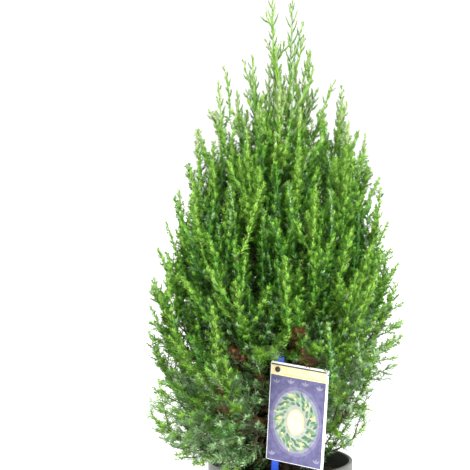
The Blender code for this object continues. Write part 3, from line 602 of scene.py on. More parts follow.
def leader_limbs():
    """Records like those of the tiers, for the two leading shoots."""
    limbs = []
    for name, tip, foot_height in LEADERS:
        tip = np.array(tip)
        if foot_height is None:
            start = trunk_point(TRUNK_TIP_HEIGHT) + GAP * UP
            out = UP
            first = start + LEADER_FOOT_RISE * (tip[2] - start[2]) * UP
        else:
            out = np.array((math.copysign(1.0, tip[0]), 0.0, 0.0))
            start = trunk_point(foot_height) + out * (trunk_radius(foot_height) + GAP)
            first = start + out * LEADER_FOOT_OUT
        aside, below = LEADER_TIP_BEND
        third = tip - np.array((aside * tip[0], 0.0, below * (tip[2] - start[2])))
        limbs.append({
            "name": name, "tier": "leader", "controls": (start, first, third, tip), "bare": 0.0,
            "out": out, "level": np.array((0.0, 1.0, 0.0)), "sprays": LEADER_SPRAYS,
            "spray_length": LEADER_SPRAY_LENGTH, "turn_up": LEADER_TURN_UP,
            "foot_height": foot_height,
        })
    return limbs


def stem_at(limb, share):
    """Place and direction on a mass's stem at a share of its length."""
    start = limb["bare"]
    at = start + (1.0 - start) * share
    before, here, after = bezier(limb["controls"], (max(at - 0.01, 0.0), at, min(at + 0.01, 1.0)))
    direction = after - before
    return here, direction / np.linalg.norm(direction)


def unit(vectors):
    return vectors / np.maximum(np.linalg.norm(vectors, axis=-1, keepdims=True), 1e-12)


def across_frame(direction, level):
    """Two unit vectors square to each direction, the first one nearest to the level one."""
    direction = unit(direction)
    side = unit(level - direction * (level * direction).sum(axis=-1, keepdims=True))
    return side, np.cross(direction, side)


def spray_line(limb, index):
    """Foot, heading, ending and length of a spray, by the source's seeded rule."""
    chance = random.Random(f"{SEED} {limb['name']} spray {index}")
    first_share, first_turn = SPRAY_PHASES
    step = (first_share + index * TURN_PER_SPRAY) % 1.0
    share = SPRAY_FIRST + (SPRAY_LAST - SPRAY_FIRST) * step
    foot, direction = stem_at(limb, share)
    side, up = across_frame(direction, limb["level"])
    turn = math.tau * ((first_turn + index * STEP_PER_SPRAY) % 1.0)
    turn += chance.uniform(-SPRAY_TURN_JITTER, SPRAY_TURN_JITTER)
    angle = math.radians(SPRAY_ANGLE * (1.0 - SPRAY_CLOSING * share)
                         + chance.uniform(-SPRAY_ANGLE_JITTER, SPRAY_ANGLE_JITTER))
    outward = math.cos(turn) * side + math.sin(turn) * up
    heading = math.cos(angle) * direction + math.sin(angle) * outward
    length = limb["spray_length"] * (1.0 - SPRAY_SHORTENING * share)
    length *= chance.uniform(*SPRAY_LENGTH_SPREAD)
    ending = unit(heading * (1.0 - abs(limb["turn_up"])) + limb["turn_up"] * UP)
    return foot, heading, ending, length


# Space of the crown

def label_matrix():
    turn = Matrix.Rotation(math.radians(CARD_YAW), 4, "Z")
    lean = Matrix.Rotation(math.radians(CARD_LEAN), 4, "X")
    roll = Matrix.Rotation(math.radians(CARD_ROLL), 4, "Y")
    return Matrix.Translation(CARD_CENTRE) @ turn @ lean @ roll


LABEL_FRAME = label_matrix()
LABEL_INVERSE = np.array(LABEL_FRAME.inverted())


def clear_of_label(points, gap):
    local = points @ LABEL_INVERSE[:3, :3].T + LABEL_INVERSE[:3, 3]
    behind = 0.5 * CARD_THICKNESS + GAP + STAKE_THICKNESS + gap
    ahead = np.maximum(-local[:, 1], 0.0)
    across = np.abs(local[:, 0]) < 0.5 * CARD_WIDTH + gap
    height = local[:, 2] < 0.5 * CARD_HEIGHT + gap + LABEL_VIEW_SLOPE * ahead
    stake = np.abs(local[:, 0] - STAKE_OFFSET) < 0.5 * STAKE_WIDTH + gap
    stake &= local[:, 2] < 0.5 * CARD_HEIGHT + STAKE_ABOVE_CARD + gap
    stake &= local[:, 1] > -0.5 * CARD_THICKNESS - gap
    return ~((across & height | stake) & (local[:, 1] < behind))


def clear_of_pot(points, gap):
    radius = np.hypot(points[:, 0], points[:, 1])
    inside = radius < POT_RIM_RADIUS - POT_LIP_WIDTH - gap
    floor = np.where(inside, SOIL_LEVEL + gap, POT_HEIGHT + gap)
    return points[:, 2] >= floor


def crown_depth(points):
    """How far points lie inside the crown's outline, level with them. Below zero is outside."""
    heights, radii = (np.array(column) for column in zip(*CROWN_PROFILE))
    limit = np.interp(points[:, 2], heights, radii)
    across = points[:, 0] - crown_shift(points[:, 2])
    azimuth = np.arctan2(points[:, 1], across)
    share = thin_side_share(azimuth, points[:, 2])
    return limit * share - np.hypot(across, points[:, 1])


def stem_lines(limbs):
    """The stems of all masses as straight pieces: where these start and where they end."""
    stems = np.array([bezier(limb["controls"], np.linspace(limb["bare"], 1.0, STEM_SAMPLES))
                      for limb in limbs])
    return stems[:, :-1], stems[:, 1:]


def near_own_stem(points, owner, stems):
    """Whether points keep nearer to their own mass's stem than to any other, within the slack."""
    starts, ends = stems
    along = ends - starts
    offset = points[:, None, None] - starts
    share = (offset * along).sum(axis=3) / np.maximum((along ** 2).sum(axis=2), 1e-12)
    offset = offset - np.clip(share, 0.0, 1.0)[..., None] * along
    distances = np.sqrt((offset ** 2).sum(axis=3)).min(axis=2)
    others = np.delete(distances, owner, axis=1).min(axis=1)
    return (distances[:, owner] - others <= CELL_SLACK).all()


# Shoots: each is a curve of three control points

PROBE = np.linspace(0.15, 1.0, 8)
LINE = ("p0", "p1", "p2")
ROWS = (*LINE, "level", "limb", "width", "bare", "shell")


def smooth_step(low, high, values):
    t = np.clip((values - low) / (high - low), 0.0, 1.0)
    return t * t * (3.0 - 2.0 * t)


def mix(low, high, share):
    return low + (high - low) * share


def change(trait, height):
    """How far a trait of the growth has changed at a height, from 0 to 1."""
    return smooth_step(*CHANGES[trait], height)


def shoot_points(p0, p1, p2, shares):
    """Points at shares along many shoots: arrays (n, 3) and shares (n,)."""
    s = shares[:, None]
    return (1 - s) ** 2 * p0 + 2 * s * (1 - s) * p1 + s ** 2 * p2


def shoot_ways(p0, p1, p2, shares):
    s = shares[:, None]
    return unit((1 - s) * (p1 - p0) + s * (p2 - p1))


def line_controls(foot, heading, ending, length):
    half = 0.5 * length
    p1 = foot + half * heading
    return foot, p1, p1 + half * ending


def line_through(foot, middle, tip):
    return foot, 2.0 * middle - 0.5 * (foot + tip), tip


def line_of(shoots, chosen=slice(None)):
    return [shoots[key][chosen] for key in LINE]


def lengths_of(shoots):
    p0, p1, p2 = line_of(shoots)
    chord = np.linalg.norm(p2 - p0, axis=1)
    legs = np.linalg.norm(p1 - p0, axis=1)
    legs += np.linalg.norm(p2 - p1, axis=1)
    return (2.0 * chord + legs) / 3.0


def has_room(points, outside, above_pot, off_label):
    free = (crown_depth(points) >= -outside) & clear_of_pot(points, above_pot)
    return (free & clear_of_label(points, off_label)).all()


def add_plume(rows, line, limbs, owner, width, bare, shell):
    values = (*line, limbs[owner]["level"], int(owner), width, bare, shell)
    for key, value in zip(ROWS, values):
        rows[key].append(value)


def grow_plumes(limbs):
    """Plume axes: the limbs' own tops, the source's sprays, then the columns between them."""
    rows = {key: [] for key in ROWS}
    stems = stem_lines(limbs)
    for owner, limb in enumerate(limbs):
        for first, last in AXIS_PARTS.get(limb["tier"], OTHER_AXIS_PARTS):
            places = [stem_at(limb, share)[0] for share in (first, 0.5 * (first + last), last)]
            add_plume(rows, line_through(*places), limbs, owner, AXIS_WIDTH, 0.0, 0)
    leader = len(limbs) - len(LEADERS)
    for low in TRUNK_PARTS:
        high = low + TRUNK_PART_LENGTH
        places = [trunk_point(height) for height in (low, 0.5 * (low + high), high)]
        add_plume(rows, line_through(*places), limbs, leader, 1.0, 0.0, 0)
    for owner, limb in enumerate(limbs):
        for index in range(limb["sprays"]):
            fit_spray(rows, spray_line(limb, index), limbs, owner, stems)
    grow_columns(rows, limbs)
    return {key: np.array(value) for key, value in rows.items()}


def fit_spray(rows, plan, limbs, owner, stems):
    """Add a spray of the source, shortened until it has room."""
    foot, heading, ending, length = plan
    length *= SPRAY_SCALE.get(limbs[owner]["tier"], 1.0)
    for scale in PLUME_TRIES:
        line = line_controls(foot, heading, ending, length * scale)
        if np.linalg.norm(np.array(rows["p2"]) - line[2], axis=1).min() < SPRAY_TIP_SPACING:
            continue
        points = shoot_points(*line, PROBE)
        if has_room(points, *SPRAY_ROOM) and near_own_stem(points, owner, stems):
            add_plume(rows, line, limbs, owner, 1.0, SPRAY_BARE, 0)
            return


def single_tips():
    """Tip, level way and ending of the single sprigs of the outline and over the stake's top."""
    tips = []
    for index, (x, z, rise) in enumerate(SIDE_TIPS):
        tip = np.array((x, SIDE_TIP_STAGGER * (index * 7 % 5 - 2), z))
        tips.append((tip, np.array((math.copysign(1.0, x), 0.0, 0.0)), rise))
    for *place, rise in VEIL_TIPS:
        tips.append((np.array(LABEL_FRAME @ Vector(place)), np.array((0.0, -1.0, 0.0)), rise))
    return [(tip, way, math.cos(math.radians(rise)) * way + math.sin(math.radians(rise)) * UP)
            for tip, way, rise in tips]


def in_seam(tip):
    return any(abs(tip[0] - x) < half and low < tip[2] < high and tip[1] < back
               for x, low, high, half, back in SEAMS)


def column_plans(shell, tries, shallow, deep, long_share):
    """The tries of a shell: height, turn, depth, sway, bow, swing and length of each."""
    chance = np.random.default_rng([SEED, shell])
    order = np.arange(tries)
    climb = ((0.5 + order * TURN_PER_SPRAY) % 1.0) ** COLUMN_CROWDING
    turn = math.tau * ((0.5 + order * STEP_PER_SPRAY) % 1.0)
    turn = turn + chance.normal(0.0, COLUMN_TURN_JITTER, tries)
    depth = chance.uniform(shallow, deep, tries)
    is_long = chance.uniform(0.0, 1.0, tries) < long_share
    depth = np.where(is_long, chance.uniform(-TIP_OUTSIDE, LONG_TIP_INSIDE, tries), depth)
    sway = chance.normal(0.0, COLUMN_SWAY, (tries, 3))
    bow = chance.normal(0.0, COLUMN_BOW, (tries, 3))
    swing = chance.uniform(-1.0, 1.0, tries)
    longer = chance.uniform(*COLUMN_LENGTH_SPREAD, tries)
    height = COLUMN_FOOT + COLUMN_RANGE * climb
    return zip(height, turn, depth, sway, bow, swing, longer)


def spread_tip(height, turn, depth, shell):
    """Place and level way of a column's tip, or None in a gap or where the crown is too slim."""
    way = np.array((math.cos(turn), math.sin(turn), 0.0))
    centre = np.array((float(crown_shift(height)), 0.0, height))
    radius = float(crown_depth(centre[None] + LEAST_PROBE * way)[0]) + LEAST_PROBE - depth
    if depth > LONG_TIP_DEPTH or height > LONG_ONES_TOP:
        radius -= np.interp(height, *zip(*INSET))
    radius -= max(0.0, -way[0]) * np.interp(height, *zip(*LEFT_INSET))
    radius -= max(0.0, way[0]) * np.interp(height, *zip(*RIGHT_INSET))
    radius -= THIN_SIDE_INSET * float(1.0 - thin_side_share(turn, height)) / THIN_SIDE_SHARE
    tip = centre + radius * way
    if radius < LEAST_RADIUS or (shell < 2 and in_seam(tip)):
        return None
    return tip, way


def room_round(height, way, room, headroom):
    """Sideways and upward room that a column's tip keeps to the others of its shell."""
    low, high = change("low_room", height), change("top_room", height)
    wide = mix(mix(room, LOW_ROOM[0], low), TOP_ROOM[0], high)
    wide *= LEFT_ROOM if way[0] < -0.5 and height < LEFT_ROOM_TOP else 1.0
    return wide, wide, mix(mix(headroom, LOW_ROOM[1], low), TOP_ROOM[1], high)


def column_ending(height, way, turn, sway, swing):
    """The way that a column's tip points: level low down, upright above."""
    heights, outs, ups = zip(*COLUMN_LEAN)
    near = float(1.0 - thin_side_share(turn, SOIL_LEVEL))
    low = height - THIN_SIDE_DROP * near / THIN_SIDE_SHARE * (height < THIN_SIDE_DROP_TOP)
    aside = LOW_SWAY * change("low_sway", height) * swing
    return unit(np.interp(low, heights, outs) * way + sway
                + aside * np.array((-way[1], way[0], 0.0)) + np.interp(low, heights, ups) * UP)


def limb_feet(limbs):
    """Places along the limbs where a carrier may leave, the limbs' ways there and their owners."""
    first, last = FOOT_RANGE
    shares = [np.linspace(first * limb["bare"], last, FOOT_SAMPLES) for limb in limbs]
    feet, ahead = (
        np.concatenate([bezier(limb["controls"], s + d) for limb, s in zip(limbs, shares)])
        for d in (0.0, 0.01))
    return feet, unit(ahead - feet), np.repeat(np.arange(len(limbs)), FOOT_SAMPLES)


def fit_column(tip, way, upright, longer, bow, places):
    """Limb, carrier and column of the first try that has room, or None."""
    feet, stem_ways, owners = places
    for shorter, flat in COLUMN_TRIES:
        ending = unit(mix(upright, way + LAID_RISE * UP, flat))
        length = shorter * longer * float(np.interp(tip[2], *zip(*COLUMN_LENGTH)))
        base = tip - length * ending
        reach = np.linalg.norm(feet - base, axis=1)
        slant = (unit(base - feet) * stem_ways).sum(axis=1)
        climb = np.maximum(feet[:, 2] - base[2], 0.0)
        best = int((reach + SLANT_COST * (1.0 - slant) + CLIMB_COST * climb).argmin())
        carrier = (feet[best], base - JOINT_REACH * reach[best] * ending, base)
        column = (base, base + 0.5 * length * (ending + bow), tip)
        points = np.concatenate((shoot_points(*carrier, PROBE), shoot_points(*column, PROBE)))
        if has_room(points, *COLUMN_ROOM):
            return owners[best], carrier, column
    return None


def grow_columns(rows, limbs):
    """Plumes that leave the best placed limb and end at evenly spread places of the crown."""
    places = limb_feet(limbs)
    for shell, (tries, shallow, deep, room, headroom, long_share) in enumerate(SHELLS):
        shell_tips = [tip for tip, at in zip(rows["p2"], rows["shell"]) if at == shell]
        taken = np.array(shell_tips or [FAR_AWAY])
        singles = single_tips() if shell == 0 else []
        plans = column_plans(shell, tries, shallow, deep, long_share)
        for index, (height, turn, depth, sway, bow, swing, longer) in enumerate(plans):
            single = index < len(singles)
            if single:
                tip, way, ending = singles[index]
            elif (spread := spread_tip(height, turn, depth, shell)) is None:
                continue
            else:
                tip, way = spread
                ending = column_ending(height, way, turn, sway, swing)
            closest = (((taken - tip) / room_round(tip[2], way, room, headroom)) ** 2).sum(axis=1)
            if closest.min() < (SINGLE_ROOM if single else 1.0):
                continue
            fitted = fit_column(tip, way, ending, longer, bow, places)
            if fitted is None:
                continue
            owner, carrier, column = fitted
            taken = np.vstack((taken, tip))
            width = mix(*SINGLE_WIDTH, float(change("single", tip[2]))) if single else 1.0
            add_plume(rows, carrier, limbs, owner, CARRIER_WIDTH, CARRIER_BARE, CARRIER_SHELL)
            add_plume(rows, column, limbs, owner, width, 0.0, shell)


def members(counts):
    """For each member of groups of these sizes, its group and its place there."""
    group = np.repeat(np.arange(len(counts)), counts)
    return group, np.arange(counts.sum()) - np.repeat(np.cumsum(counts) - counts, counts)


def twig_trait(name, height):
    low, middle, top, lower, upper = TWIG_TRAITS[name]
    value = mix(low, middle, smooth_step(*lower, height))
    return mix(value, top, smooth_step(*upper, height))


def side_twigs(plumes):
    """Twigs off the sides of the plumes in golden-angle order, past each plume's bare part."""
    first = plumes["bare"]
    spacing = twig_trait("spacing", plumes["p1"][:, 2])
    spacing = spacing * np.where(plumes["shell"] > 0, INNER_TWIG_SPACING, 1.0)
    count = ((LAST_TWIG - first) * lengths_of(plumes) / spacing).astype(int)
    owner, order = members(np.maximum(count, 0))
    total = len(owner)
    step = (LAST_TWIG - first[owner]) / np.maximum(count[owner], 1)
    share = first[owner] + (order + rng.uniform(*TWIG_STEP_SPREAD, total)) * step
    line = line_of(plumes, owner)
    foot, way = shoot_points(*line, share), shoot_ways(*line, share)
    height = foot[:, 2]
    side, up = across_frame(way, plumes["level"][owner])
    turn = rng.uniform(0.0, math.tau, len(count))[owner] + order * GOLDEN_TURN
    turn = turn + rng.normal(0.0, TWIG_TURN_JITTER, total)
    flat = mix(*TWIG_FLATTENING, change("flat", height))
    outward = unit(np.cos(turn)[:, None] * side + (flat * np.sin(turn))[:, None] * up)
    angle = twig_trait("angle", height) * (1.0 - TWIG_CLOSING * share)
    lean = np.radians(angle + rng.normal(0.0, TWIG_ANGLE_JITTER, total))[:, None]
    heading = unit(np.cos(lean) * way + np.sin(lean) * outward)
    rise = mix(*TWIG_RISE, change("rise", height))[:, None]
    ending = unit(heading * (1.0 - TWIG_TURN_IN) + way * TWIG_TURN_IN + rise * UP)
    taper_end, taper = TWIG_TAPER
    reach = twig_trait("length", height) * np.minimum(1.0, (taper_end - share) / taper)
    reach = reach * rng.uniform(*TWIG_LENGTH_SPREAD, total) * plumes["width"][owner]
    twigs = {key: plumes[key][owner] for key in ("level", "limb", "tone", "shell", "dead", "blue")}
    twigs.update(zip(LINE, line_controls(foot, heading, ending, reach[:, None])))
    twigs["radial"] = unit(outward)
    twigs["tipness"] = mix(plumes["tipness"][owner], 1.0, share)
    twigs["start"] = np.full(total, TWIG_CLOTHED_FROM)
    return twigs


def inner_share(points):
    """0 in the outer crown, up to 1 where the low limbs are bare and brown."""
    depth = crown_depth(points) - INNER_DEPTH_GAIN * change("bare_core", points[:, 2])
    return np.clip((depth - INNER_DEPTH) / (FOLIAGE_DEPTH - INNER_DEPTH), 0.0, 1.0)


def with_room(twigs):
    """The twigs that stay within reach of the crown and clear of the label and the pot."""
    tips = twigs["p2"]
    free = (crown_depth(tips) >= -TWIG_OUTSIDE) & (inner_share(tips) < 1.0)
    free &= clear_of_label(tips, LABEL_GAP) & clear_of_label(twigs["p1"], LABEL_GAP)
    free &= clear_of_pot(tips, TWIG_ABOVE_POT)
    return {key: values[free] for key, values in twigs.items()}


# Meshes from arrays

def add_object(name, data):
    added = bpy.data.objects.new(name, data)
    bpy.context.scene.collection.objects.link(added)
    return added


def mesh_piece(name, vertices, triangles, slots, materials):
    mesh = bpy.data.meshes.new(name)
    mesh.vertices.add(len(vertices))
    mesh.vertices.foreach_set("co", np.ascontiguousarray(vertices, np.float32).ravel())
    mesh.loops.add(3 * len(triangles))
    mesh.loops.foreach_set("vertex_index", np.ascontiguousarray(triangles, np.int32).ravel())
    mesh.polygons.add(len(triangles))
    mesh.polygons.foreach_set("loop_start", np.arange(0, 3 * len(triangles), 3, dtype=np.int32))
    for material in materials:
        mesh.materials.append(material)
    mesh.polygons.foreach_set("material_index", np.ascontiguousarray(slots, np.int32))
    mesh.update(calc_edges=True)
    return add_object(name, mesh)


def dress(piece, slot, *replaced):
    """Attach a piece to the root and hide the solids that it stands for. The slot is not used."""
    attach(piece, "root")
    if replaced:
        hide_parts(*replaced)


def repeated(faces, count, stride):
    """The faces of one body, for each of a piece's equal bodies."""
    return np.array(faces)[None] + stride * np.arange(count)[:, None, None]


def joined(parts):
    """Vertices, triangles and slots of many parts, as those of one."""
    starts = np.cumsum([0] + [len(part[0]) for part in parts])
    vertices, triangles, slots = zip(*parts)
    moved = [faces + start for faces, start in zip(triangles, starts)]
    return np.concatenate(vertices), np.concatenate(moved), np.concatenate(slots)


def round_turns(steps):
    return np.linspace(0.0, math.tau, steps, endpoint=False)


def turned_faces(rings, steps):
    """Faces over rings of vertices; the centres of the first and the last ring come after them."""
    faces = []
    last = (rings - 1) * steps
    for index in range(steps):
        after = (index + 1) % steps
        faces.append((rings * steps, index, after))
        for low in range(0, last, steps):
            high = low + steps
            faces.append((low + index, high + index, high + after, low + after))
        faces.append((rings * steps + 1, last + after, last + index))
    return faces


def in_triangles(faces):
    return np.array([(face[0], face[corner], face[corner + 1])
                     for face in faces for corner in range(1, len(face) - 1)])


def shoot_tubes(shoots, foot_radius, tip_radius, segments, wood):
    """Three-sided tapering twigs that end in a point: vertices, triangles and slots."""
    count = len(wood)
    line = line_of(shoots)
    rings = []
    for share in np.linspace(0.0, 1.0, segments + 1)[:-1]:
        at = np.full(count, share)
        side, up = across_frame(shoot_ways(*line, at), shoots["level"])
        centre, radius = shoot_points(*line, at), mix(foot_radius, tip_radius, share)
        for turn in (math.tau * corner / 3.0 for corner in range(3)):
            rings.append(centre + radius * (math.cos(turn) * side + math.sin(turn) * up))
    vertices = np.stack((*rings, shoots["p2"]), axis=1)
    top = 3 * (segments - 1)
    faces = []
    for corner, after in ((0, 1), (1, 2), (2, 0)):
        for low in range(0, top, 3):
            faces.append((low + corner, low + after, low + after + 3))
            faces.append((low + corner, low + after + 3, low + corner + 3))
        faces.append((top + corner, top + after, top + 3))
    triangles = repeated(faces, count, vertices.shape[1]).reshape(-1, 3)
    return vertices.reshape(-1, 3), triangles, np.repeat(wood, len(faces))


def needle_shapes(height, inside):
    """Length, angle, width and spacing of the needles of each shoot."""
    young, slim = 1.0 - change("young", height), change("slim", height)
    shapes = {}
    for key, (middle, top, low, inner_middle, inner_top) in NEEDLE_SHAPES.items():
        outer = mix(mix(middle, top, slim), low, young)
        inner = mix(inner_middle, inner_top, slim)
        if key in ("length", "angle"):
            inner = np.maximum(outer, inner)
        shapes[key] = np.where(inside, inner, outer)
    return shapes


def needle_arrays(shoots, shapes, radius, colour):
    """Whorls of three folded blades along each shoot: foot, two shoulders and point."""
    start = shoots["start"]
    count = ((1.0 - start) * lengths_of(shoots) / shapes["spacing"]).astype(int)
    count = np.maximum(count, 1)
    owner, order = members(count)
    share = start[owner] + (order + 0.5) * (1.0 - start[owner]) / count[owner]
    third = np.tile(np.arange(3), len(owner))
    owner, order, share = (np.repeat(values, 3) for values in (owner, order, share))
    total = len(owner)
    share = np.clip(share + rng.normal(0.0, NEEDLE_SHARE_JITTER, total), 0.0, 1.0)
    line = line_of(shoots, owner)
    foot, way = shoot_points(*line, share), shoot_ways(*line, share)
    height = foot[:, 2]
    side, up = across_frame(way, shoots["level"][owner])
    turn = order * (math.pi / 3.0) + third * (math.tau / 3.0)
    turn = (turn + rng.normal(0.0, NEEDLE_TURN_JITTER, total))[:, None]
    outward = np.cos(turn) * side + np.sin(turn) * up
    around = np.cross(way, outward)
    closing = 1.0 - mix(*NEEDLE_CLOSING, change("closing", height)) * share ** 3
    angle = shapes["angle"][owner] * closing + rng.normal(0.0, NEEDLE_ANGLE_JITTER, total)
    lean = np.radians(angle)[:, None]
    aim = unit(np.cos(lean) * way + np.sin(lean) * outward)
    shorter = 1.0 - mix(*NEEDLE_SHORTENING, change("shortening", height)) * share ** 2
    size = shapes["length"][owner] * shorter * rng.uniform(*NEEDLE_LENGTH_SPREAD, total)
    size = size[:, None]
    half = 0.5 * shapes["width"][owner][:, None] * (1.0 - NEEDLE_NARROWING * share[:, None])
    inward = unit(np.cross(aim, around))
    inward *= np.where((inward * way).sum(axis=1) > 0.0, 1.0, -1.0)[:, None]
    foot = foot + outward * radius
    height = foot[:, 2]
    shoulder = foot + SHOULDER_SHARE * size * aim + SHOULDER_FOLD * half * inward
    point = foot + size * unit(aim + POINT_BEND * way)
    vertices = np.stack((foot, shoulder - half * around, point, shoulder + half * around), axis=1)
    shading = mix(*OUTWARD_SHADING, change("shading", height))[:, None]
    normals = unit(shoots["radial"][owner] + shading * outward + INWARD_SHADING * inward)
    dealt = needle_tones(colour[owner], height, share, rng.uniform(0.0, 1.0, total))
    return vertices, dealt, shoots["limb"][owner], normals


def needle_tones(colour, height, share, tone):
    """The shoot's colour, made one step brighter or darker for some of its needles: at random on the
    young low shoots; on the others lighter near the tip and darker near the foot, painted light and
    shade along the shoot.
    """
    young = height < YOUNG_TOP
    brighter = np.where(young, tone < YOUNG_TONES[0],
                        (share > OLD_SHARES[0]) & (tone < OLD_TONES[0]))
    darker = np.where(young, tone > YOUNG_TONES[1],
                      (share < OLD_SHARES[1]) & (tone < OLD_TONES[1]))
    colour = np.where(brighter, BRIGHTER[colour], colour)
    colour = np.where(darker, DARKER[colour], colour)
    return np.where((colour == PALE) & (height < PALE_FROM), BRIGHT, colour)


def blade_piece(name, vertices, colours, materials, normals=None):
    """Folded blades. Their shading follows the normals, so that a shoot is lit as one body."""
    triangles = repeated(BLADE, len(vertices), 4)
    flat = vertices.reshape(-1, 3)
    if normals is not None:
        corners = flat[triangles]
        faced = np.cross(corners[:, :, 1] - corners[:, :, 0], corners[:, :, 2] - corners[:, :, 0])
        turned = (faced * normals[:, None]).sum(axis=2) < 0.0
        triangles = np.where(turned[:, :, None], triangles[:, :, ::-1], triangles)
    piece = mesh_piece(name, flat, triangles.reshape(-1, 3), np.repeat(colours, 2), materials)
    if normals is not None:
        piece.data.shade_smooth()
        piece.data.normals_split_custom_set_from_vertices(np.repeat(normals, 4, axis=0))
    return piece


# Materials

def linear(colour):
    """Linear values of an sRGB colour in 0 to 255."""
    values = [c / 255.0 for c in colour]
    return tuple(c / 12.92 if c <= 0.04045 else ((c + 0.055) / 1.055) ** 2.4 for c in values)


def plain_material(name, colour, roughness, specular=0.5):
    material = bpy.data.materials.new(name)
    material.use_nodes = True
    inputs = material.node_tree.nodes["Principled BSDF"].inputs
    inputs["Base Color"].default_value = (*linear(colour), 1.0)
    inputs["Roughness"].default_value = roughness
    inputs["Specular IOR Level"].default_value = specular
    material.diffuse_color = (*linear(colour), 1.0)
    return material


def add_node(material, kind, inputs):
    node = material.node_tree.nodes.new(kind)
    for key, value in inputs.items():
        node.inputs[key].default_value = value
    return node


def patterned_material(name, colours, scale, roughness, bump, bump_scale, stretch=(1.0, 1.0, 1.0)):
    """Noise blends the colours; a second noise drives the roughness and the bump."""
    material = plain_material(name, colours[len(colours) // 2], roughness[0])
    shader = material.node_tree.nodes["Principled BSDF"]
    place = add_node(material, "ShaderNodeTexCoord", {})
    turn = add_node(material, "ShaderNodeMapping", {"Scale": stretch})
    noise = add_node(
        material, "ShaderNodeTexNoise", {"Scale": scale, "Detail": 6.0, "Roughness": 0.6})
    fine = add_node(material, "ShaderNodeTexNoise", {"Scale": bump_scale, "Detail": 4.0})
    spread = add_node(
        material, "ShaderNodeMapRange", {"To Min": roughness[0], "To Max": roughness[1]})
    relief = add_node(material, "ShaderNodeBump", {"Strength": bump[0], "Distance": bump[1]})
    ramp = add_node(material, "ShaderNodeValToRGB", {})
    stops = ramp.color_ramp.elements
    while len(stops) < len(colours):
        stops.new(0.5)
    for index, (stop, colour) in enumerate(zip(stops, colours)):
        stop.position = 0.30 + 0.40 * index / (len(colours) - 1)
        stop.color = (*linear(colour), 1.0)
    for source, output, target, socket in (
            (place, "Object", turn, "Vector"), (turn, "Vector", noise, "Vector"),
            (noise, "Fac", ramp, "Fac"), (ramp, "Color", shader, "Base Color"),
            (turn, "Vector", fine, "Vector"), (fine, "Fac", spread, "Value"),
            (spread, "Result", shader, "Roughness"), (fine, "Fac", relief, "Height"),
            (relief, "Normal", shader, "Normal")):
        material.node_tree.links.new(source.outputs[output], target.inputs[socket])
    return material


NEEDLE_COLOURS = (
    ("needle_bright", (134, 184, 64)),
    ("needle_light", (106, 163, 44)),
    ("needle_mid", (83, 150, 32)),
    ("needle_deep", (60, 122, 26)),
    ("needle_pale_blue", (152, 186, 132)),
    ("needle_blue", (104, 158, 86)),
    ("needle_blue_deep", (75, 129, 56)),
    ("needle_dead", (122, 82, 50)),
    ("needle_pale", (172, 194, 130)),
)
BRIGHT, LIGHT, MID, DEEP, PALE_BLUE, BLUE, BLUE_DEEP, DEAD, PALE = range(len(NEEDLE_COLOURS))
BRIGHTER = np.array((PALE, BRIGHT, LIGHT, MID, PALE_BLUE, PALE_BLUE, BLUE, DEAD, PALE))
DARKER = np.array((LIGHT, MID, DEEP, DEEP, BLUE, BLUE_DEEP, BLUE_DEEP, DEAD, BRIGHT))
needle_materials = [
    plain_material(name, colour, 0.50, specular=0.35) for name, colour in NEEDLE_COLOURS]
twig_materials = [
    plain_material("twig_green", (84, 108, 44), 0.6),
    plain_material("twig_brown", (70, 56, 34), 0.75),
]
bark_material = patterned_material(
    "bark_fibres", ((42, 32, 24), (72, 56, 42), (106, 88, 68)), 90.0, (0.75, 0.95),
    (0.6, 0.0006), 420.0, stretch=(1.0, 1.0, 0.16))


# Growth

def add_traits(plumes):
    """Chance traits that each plume hands on to its twigs, and where its needles start."""
    count = len(plumes["limb"])
    tips = plumes["p2"]
    plumes["tone"] = rng.normal(0.0, TONE_SPREAD, count)
    plumes["tipness"] = np.full(count, AXIS_TIPNESS)
    plumes["radial"] = np.zeros((count, 3))
    plumes["start"] = CLOTHED_FROM * plumes["bare"]
    plumes["blue"] = rng.uniform(0.0, 1.0, count)
    plumes["dead"] = rng.uniform(0.0, 1.0, count) < DEAD_SHARE
    plumes["dead"] &= (plumes["shell"] > 0) & (tips[:, 2] < DEAD_TOP)
    for place in BROWN_PLACES:
        aside = np.abs(tips[:, ::2] - place) / BROWN_REACH
        plumes["dead"] |= (aside.max(axis=1) < 1.0) & (tips[:, 1] < BROWN_BACK)


def beyond(distance, place, width):
    return np.clip((distance - place) / width, 0.0, 1.0)


